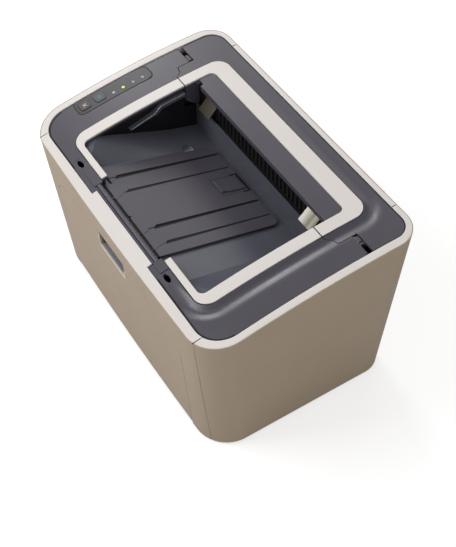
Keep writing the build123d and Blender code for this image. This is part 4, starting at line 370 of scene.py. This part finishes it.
# Making meshes and pieces
def copied(name):
    """A CAD node's shape, its loose triangles joined."""
    shape = bmesh.new()
    shape.from_mesh(nodes[name].data)
    shape.transform(nodes[name].matrix_world)
    bmesh.ops.remove_doubles(shape, verts=shape.verts, dist=ONE_CORNER)
    return shape


def finished(shape, name):
    """A mesh made from a shape, with its normals turned outward."""
    bmesh.ops.recalc_face_normals(shape, faces=shape.faces)
    mesh = bpy.data.meshes.new(name)
    shape.to_mesh(mesh)
    shape.free()
    return mesh


def piece(name, mesh, body, slot, width):
    """A new piece in its finish with softened edges, riding on a body."""
    made = bpy.data.objects.new(name, mesh)
    scene.collection.objects.link(made)
    mesh.materials.clear()
    mesh.materials.append(FINISH[slot])
    soften(made, width)
    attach(made, body)
    return made


def drawn(name, body, slot, width, *steps):
    """A piece drawn in steps: each is a drawing function and what it takes after the shape."""
    shape = bmesh.new()
    for draw, *given in steps:
        draw(shape, *given)
    piece(name, finished(shape, name), body, slot, width)


def carved(name, cutter):
    """A CAD node's shape with a cutter's shape taken away, as a new mesh."""
    blank = bpy.data.objects.new("blank", finished(copied(name), "blank"))
    tool = bpy.data.objects.new("tool", finished(cutter, "tool"))
    scene.collection.objects.link(blank)
    scene.collection.objects.link(tool)
    cut = blank.modifiers.new("cut", "BOOLEAN")
    cut.operation = "DIFFERENCE"
    cut.solver = "EXACT"
    cut.use_self = True
    cut.object = tool
    made = bpy.data.meshes.new_from_object(blank.evaluated_get(bpy.context.evaluated_depsgraph_get()))
    for thing in (blank, tool):
        spare = thing.data
        bpy.data.objects.remove(thing)
        bpy.data.meshes.remove(spare)
    return made


def block(shape, plan, low, high, place):
    """Add an upright block over a plan, between two heights above the surface of place."""
    below, above = (
        [shape.verts.new(place(x / 1000, y / 1000, up / 1000)) for x, y in plan] for up in (low, high)
    )
    shape.faces.new(reversed(below))
    shape.faces.new(above)
    for i in range(len(plan)):
        j = (i + 1) % len(plan)
        shape.faces.new((below[i], below[j], above[j], above[i]))


def strip(shape, path, width, low, high, place, closed=False):
    """Add a strip that follows a path in plan, between two heights above the surface of place."""
    count = len(path)
    rings = []
    for i, (x, y) in enumerate(path):
        before = path[i - 1] if i or closed else path[i]
        after = path[(i + 1) % count] if i < count - 1 or closed else path[i]
        along = Vector((after[0] - before[0], after[1] - before[1])).normalized()
        side = Vector((-along.y, along.x)) * width / 2
        corners = [(x + side.x, y + side.y, low), (x - side.x, y - side.y, low),
                   (x - side.x, y - side.y, high), (x + side.x, y + side.y, high)]
        rings.append([shape.verts.new(place(*(c / 1000 for c in corner))) for corner in corners])
    for i in range(count if closed else count - 1):
        here, there = rings[i], rings[(i + 1) % count]
        for k in range(4):
            m = (k + 1) % 4
            shape.faces.new((here[k], there[k], there[m], here[m]))
    if not closed:
        shape.faces.new(rings[0])
        shape.faces.new(reversed(rings[-1]))


def arc(x, y, radius, start, end, count=8, stretch=1.0):
    """Places along an arc between two angles in degrees, its depth stretched."""
    turns = [math.radians(start + (end - start) * i / count) for i in range(count + 1)]
    return [(x + radius * math.cos(t), y + stretch * radius * math.sin(t)) for t in turns]


def square(x0, x1, y0, y1):
    """A rectangle in plan."""
    return [(x0, y0), (x1, y0), (x1, y1), (x0, y1)]


def rounded(x0, x1, y0, y1, radius):
    """A rectangle in plan with rounded corners."""
    left, right, front, back = x0 + radius, x1 - radius, y0 + radius, y1 - radius
    return (arc(right, back, radius, 0, 90, 6) + arc(left, back, radius, 90, 180, 6)
            + arc(left, front, radius, 180, 270, 6) + arc(right, front, radius, 270, 360, 6))


# The dished top: a shallow valley round the ring, pressed into both covers over a fine grid, in metres
RING_X = 0.137
RING_Y = 0.0955
RING_R = 0.016
VALLEY = (0.0012, 0.0195)
VALLEY_DEPTH = 0.0022
CELL = 0.0024
# The whole press reaches 5 mm below the crown and fades out by 7 mm, so the cover's inner side follows it
PRESS_END = 0.007
PRESS_FADE = 0.002


def share_of(value, start, length):
    """How far a value has come along a length from start, from 0 to 1."""
    return min(max((value - start) / length, 0), 1)


def off_ring(x, y):
    """Distance outside the ring's outer edge."""
    dx = abs(x) - (RING_X - RING_R)
    dy = abs(y) - (RING_Y - RING_R)
    return math.hypot(max(dx, 0), max(dy, 0)) + min(max(dx, dy), 0) - RING_R


def valley(x, y):
    """How far the dished top lies below the crown. It fades out at the left and between the knuckles."""
    share = (off_ring(x, y) - VALLEY[0]) / (VALLEY[1] - VALLEY[0])
    if not 0 < share < 1:
        return 0.0
    fade = share_of(x, -0.05, 0.13)
    if y <= -0.09:
        fade *= share_of(abs(x), 0.098, 0.014)
    return fade * VALLEY_DEPTH * math.sin(math.pi * share**0.7) ** 2


def dished(name, body):
    """A top cover with the valley pressed into its skin."""
    shape = copied(name)
    reach = VALLEY[1] + 0.001
    for axis, edges in ((0, (-RING_X, RING_X)), (1, (-RING_Y, RING_Y))):
        for edge in edges:
            outward = math.copysign(1, edge)
            for step in range(int((reach + RING_R) / CELL) + 1):
                place, turn = [0, 0, 0], [0, 0, 0]
                place[axis] = edge + outward * (reach - step * CELL)
                turn[axis] = 1
                parts = shape.verts[:] + shape.edges[:] + shape.faces[:]
                bmesh.ops.bisect_plane(shape, geom=parts, dist=0.00001, plane_co=place, plane_no=turn)
    for vert in shape.verts:
        share = share_of(vert.co.z - crown_z(vert.co.y), -PRESS_END, PRESS_FADE)
        vert.co.z -= share * valley(vert.co.x, vert.co.y)
    made = piece(name + "_dished", finished(shape, name + "_dished"), body, "dark_top", COVER_EDGE)
    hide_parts(name)


dished("door_top_cover", "top_door")
dished("top_rear_cover", "case")

# The flap: four tapering grooves with fine creases, slits along its hinge and rounded rear corners
THROUGH = 9
GROOVES = (-70.2, -46.0, 13.4, 37.4)
SLITS = ((-60.4, -40.8), (-39.6, -8.8), (-4.6, 16.6), (17.8, 43.0), (44.0, 53.0))
cutter = bmesh.new()
# Painted shade: black strips for the floors of the grooves and the slits
painted_groove_shade = []
for x in GROOVES:
    groove = [(x + 2.8, -80.0), (x + 1.2, 46.2), (x - 0.8, 46.6), (x - 2.0, -75.6)]
    block(cutter, groove, -2.0, THROUGH, on_flap)
    painted_groove_shade.append((block, groove, -2.2, -1.2, on_flap))
    aside = 11.0 if x < 0 else 7.5
    strip(cutter, [(x + aside, -96.4), (x + 0.4, -78.8)], 0.5, -0.4, 4, on_flap)
for x0, x1 in SLITS:
    slit = square(x0, x1, -98.4, -94.5)
    block(cutter, slit, -1.6, THROUGH, on_flap)
    painted_groove_shade.append((block, slit, -1.8, -0.9, on_flap))
block(cutter, square(-9.2, -7.2, -99.6, -92.4), -1.4, THROUGH, on_flap)
right_corner = [(54.6, 39.4), (70, 39.4), (70, 60), (45, 60), (45, 48.6)] + arc(45, 39.5, 9, 88, 2)
left_corner = [(-70, 60), (-99, 60), (-99, 34.4), (-84.6, 34.4)] + arc(-70, 34.5, 14, 178, 92)
# The stop's hinge slot is cut on three sides
slots = (square(-33.4, -31.2, 38.6, 47.2), square(-4.8, -2.6, 38.6, 47.2), square(-31.2, -4.8, 45.6, 47.2))
for plan in (right_corner, left_corner, *slots):
    block(cutter, plan, -THROUGH, THROUGH, on_flap)
flap = piece("stack_flap_grooved", carved("stack_flap", cutter), "flap", "dark_top", PART_EDGE)
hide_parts("stack_flap")
# Painted shade: black strips laid in the grooves and the slits, as shade in them
drawn("flap_painted_shade", "flap", "black_plastic", LINE_EDGE, *painted_groove_shade)

# The paper stop's raised tongue with its lip
tongue = arc(-18, 25, 10.0, 180, 360, 14, 0.8) + [(-7.4, 43.6), (-28.6, 43.6)]
drawn("stop_tongue", "stop", "dark_top", SHELL_EDGE,
      (block, tongue, -0.6, 1.4, on_flap),
      (block, square(-27.4, -8.6, 15.4, 18.6), -0.6, 2.0, on_flap))
# Painted shade: black strips along the edges of the stop's hinge slot, as shade in the slot
drawn("stop_slot", "flap", "black_plastic", LINE_EDGE,
      (strip, [(-32.6, 38.6), (-32.6, 47.6), (-3.4, 47.6), (-3.4, 38.6)], 1.5, -1.0, 0.15, on_flap))

# The output bin with the finger hollow beside the flap, its half sizes in metres
HOLLOW_HALF = (0.0068, 0.0062, 0.0016)
cutter = bmesh.new()
ball = bmesh.ops.create_uvsphere(cutter, u_segments=32, v_segments=16, radius=1.0)
for vert in ball["verts"]:
    across, along, up = (half * part for half, part in zip(HOLLOW_HALF, vert.co))
    vert.co = Vector(on_bin(HOLLOW[0] / 1000 + across, HOLLOW[1] / 1000 + along, up))
bin_made = piece("output_bin_hollowed", carved("output_bin", cutter), "top_door", "bin_grey", PART_EDGE)
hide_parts("output_bin")

# Outlines: thin black lines sunk round the control panel, the buttons and the lamp lenses, as painted shade
# in the gaps round them
drawn("panel_outline", "top_door", "black_plastic", LINE_EDGE,
      (strip, rounded(-179.0, -158.0, -72.0, 20.0, 6.0), 1.3, -1.6, -0.6, on_crown, True))
for name, y in (("cancel", CANCEL_Y), ("go", GO_Y)):
    outline = rounded(BUTTON_X - 5.9, BUTTON_X + 5.9, y - 5.9, y + 5.9, 3.1)
    drawn(name + "_outline", name, "black_plastic", LINE_EDGE,
          (strip, outline, 0.7, -0.9, 0.0, on_crown, True))
drawn("lens_rings", "top_door", "black_plastic", LINE_EDGE,
      *((strip, arc(LENS_X, y, 1.9, 0, 337.5, 15), 0.8, -1.6, -1.05, on_crown, True) for y in LENS_Y))


def parted(front, rear, knuckles, seam):
    """A loop's front left, front right and rear parts, with the body that each is on.

    front and rear hold the right corner's centre and radius, knuckles the ends at the front, and
    seam the depths of the ends at the sides, on the door and on the case.
    """
    x, y, r = front
    back_x, back_y, back_r = rear
    left = [(-x - r, seam[0])] + arc(-x, y, r, 180, 270) + [(knuckles[0], y - r)]
    right = [(knuckles[1], y - r)] + arc(x, y, r, 270, 360) + [(x + r, seam[0])]
    back = arc(back_x, back_y, back_r, 0, 90) + arc(-back_x, back_y, back_r, 90, 180)
    back = [(back_x + back_r, seam[1])] + back + [(-back_x - back_r, seam[1])]
    return (("front_left", "top_door", left), ("front_right", "top_door", right), ("rear", "case", back))


# Shadow gaps: black strips on the covers, round the ring and inside the rim, as painted shade in the gaps
RING_LOOP = parted((121, -79.5, 16.5), (121, 79.5, 16.5), (-98, 78), (38.4, 39.6))
RIM_LOOP = parted((151.5, -83.7, 27.2), (161.5, 96.5, 18.2), (-98, 80), (62.0, 69.4))
for loop, parts, width, high in (("ring_gap_", RING_LOOP, 0.9, -1.0), ("rim_gap_", RIM_LOOP, 1.2, -1.05)):
    for part, body, path in parts:
        drawn(loop + part, body, "black_plastic", LINE_EDGE, (strip, path, width, -1.9, high, on_crown))
# Seams of the rim at the front and the rear, and of the ring at the sides: black strips, as painted shade in
# the seams
seams = []
for side in (-1, 1):
    seams.append((strip, [(side * 162, -121.2), (side * 162, -112.6)], 0.8, -0.6, 0.05, on_crown))
    seams.append((strip, [(side * 146, 115.4), (side * 146, 119.2)], 0.8, -0.6, 0.0, on_crown))
    seams.append((strip, [(side * 122.8, 39.0), (side * 137.2, 39.0)], 1.0, -1.6, -0.33, on_crown))
drawn("seam_lines", "case", "black_plastic", LINE_EDGE, *seams)

# The inner edge of the shelf on the bin's left wall: a bright bead that follows it in depth and height
BEAD = ((-32.0, 190.4), (-2.3, 199.1), (5.8, 206.1), (36.8, 209.6))
drawn("shelf_bead", "top_door", "turned_steel", PART_EDGE, (strip, BEAD, 0.8, 5.0, 6.3, on_left_wall))

door = copied("tray_door")
front_face = BVHTree.FromBMesh(door)
door.free()


def on_front(x, z, out):
    """A place in front of the tray door."""
    hit = front_face.ray_cast(Vector((x, -0.2, z)), Vector((0, 1, 0)))[0]
    return x, hit.y - out, z


# Handle pocket: a pale cream line round its sill, as a painted highlight on its edge, and its grey floor
sill = ([(-27.2, 161.0)] + arc(-23.7, 148.3, 3.5, 180, 270, 5) + arc(23.7, 148.3, 3.5, 270, 360, 5)
        + [(27.2, 156.5)])
drawn("pocket_sill", "front_door", "cream_trim", TRIM_EDGE, (strip, sill, 2.0, -0.5, 0.7, on_front))
drawn("pocket_floor", "front_door", "pocket_grey", PART_EDGE,
      (block, rounded(-25.6, 25.6, -121.6, -104.4, 2.5), 147.6, 149.4, on_floor))

# Hinge knuckles: a small block with an oval well, which fills the square recess beside each knuckle
HOOKS = (("hook_left", -99.0), ("hook_right", 84.5))
HOOK_Y = -103.2
WELL_HALF = (6.0, 2.7)
BLOCK_HALF = (7.8, 4.0)
HOOK_LOW = -3.4
HOOK_HIGH = -1.1
for name, middle in HOOKS:
    well = arc(middle, HOOK_Y, WELL_HALF[0], 0, 345, 23, WELL_HALF[1] / WELL_HALF[0])
    sides = []
    for x, y in well:
        across, along = (x - middle) / WELL_HALF[0], (y - HOOK_Y) / WELL_HALF[1]
        scale = 1 / max(abs(across), abs(along))
        sides.append((middle + BLOCK_HALF[0] * across * scale, HOOK_Y + BLOCK_HALF[1] * along * scale))
    shape = bmesh.new()
    levels = []
    for points, up in ((well, HOOK_LOW), (well, HOOK_HIGH), (sides, HOOK_HIGH), (sides, HOOK_LOW)):
        levels.append([shape.verts.new(on_crown(x / 1000, y / 1000, up / 1000)) for x, y in points])
    for k in range(4):
        here, there = levels[k], levels[(k + 1) % 4]
        for i in range(len(well)):
            j = (i + 1) % len(well)
            shape.faces.new((here[i], here[j], there[j], there[i]))
    piece(name, finished(shape, name), "top_door", "dark_top", PART_EDGE)

# Floor: matt pale board that keeps the soft shadow. To the camera a faint glow brings the lit board
# near to white, and it fades to full white with distance
board, tree, shader, where = surface("matt pale board", {"Base Color": linear("C8C8C8"), "Roughness": 0.9})
white = linear("FFFFFF")
glow = add(tree, "ShaderNodeEmission", {"Color": white, "Strength": 0.65})
near = add(tree, "ShaderNodeAddShader", {0: shader.outputs["BSDF"], 1: glow.outputs["Emission"]})
plain = add(tree, "ShaderNodeEmission", {"Color": white, "Strength": 1.0})
away = add(tree, "ShaderNodeVectorMath", {0: where}, operation="LENGTH").outputs["Value"]
far = add(tree, "ShaderNodeMapRange", {"Value": away, "From Min": 0.6, "From Max": 1.8})
seen = add(tree, "ShaderNodeMixShader",
           {"Fac": far.outputs["Result"], 1: near.outputs["Shader"], 2: plain.outputs["Emission"]})
path = add(tree, "ShaderNodeLightPath")
mixed = add(tree, "ShaderNodeMixShader",
            {"Fac": path.outputs["Is Camera Ray"], 1: shader.outputs["BSDF"], 2: seen.outputs["Shader"]})
tree.links.new(mixed.outputs["Shader"], found(tree, "ShaderNodeOutputMaterial").inputs["Surface"])
HALF_FLOOR = 6.0
mesh = bpy.data.meshes.new("floor")
corners = square(-HALF_FLOOR, HALF_FLOOR, -HALF_FLOOR, HALF_FLOOR)
mesh.from_pydata([(x, y, 0) for x, y in corners], [], [(0, 1, 2, 3)])
mesh.materials.append(board)
plane = bpy.data.objects.new("floor", mesh)
scene.collection.objects.link(plane)

# World: even soft light, white to the camera
world = bpy.data.worlds.new("soft studio")
scene.world = world
world.use_nodes = True
sky = world.node_tree
sky.nodes.clear()
path = add(sky, "ShaderNodeLightPath")
soft = add(sky, "ShaderNodeBackground", {"Color": white, "Strength": 0.33})
clear = add(sky, "ShaderNodeBackground", {"Color": white, "Strength": 1.0})
pick = add(sky, "ShaderNodeMixShader",
           {"Fac": path.outputs["Is Camera Ray"], 1: soft.outputs[0], 2: clear.outputs[0]})
add(sky, "ShaderNodeOutputWorld", {"Surface": pick.outputs["Shader"]})

# Square soft lamps: name, place, the point each faces, side in metres and power in watts
LAMPS = (
    ("key", (-0.7, -1.3, 1.5), (0, 0, 0.15), 1.1, 20.5),
    ("side", (1.5, -0.3, 0.9), (0, 0, 0.12), 1.2, 4.2),
    ("rear left", (-1.3, 1.3, 1.25), (0, 0, 0.17), 1.3, 5),
    ("left edge", (-3.0, 0.6, 2.0), (0.15, 0, 0.21), 0.9, 30),
)
for name, place, aim, side, power in LAMPS:
    light = bpy.data.lights.new(name, "AREA")
    light.size = side
    light.energy = power
    lamp = bpy.data.objects.new(name, light)
    lamp.location = place
    lamp.rotation_euler = (Vector(aim) - Vector(place)).to_track_quat("-Z", "Y").to_euler()
    scene.collection.objects.link(lamp)

# Camera at the photograph's viewing angle, fitted to the case's corners, the ring and the seams
camera = bpy.data.cameras.new("camera")
camera.lens = 67.364
camera.shift_y = 0.0484
eye = bpy.data.objects.new("camera", camera)
eye.matrix_world = Matrix((
    (0.52726202, -0.66599469, 0.52767967, 0.647071),
    (0.84957155, 0.42411559, -0.31361466, -0.370291),
    (-0.01493147, 0.61365873, 0.78943018, 0.954182),
    (0, 0, 0, 1),
))
scene.collection.objects.link(eye)
scene.camera = eye
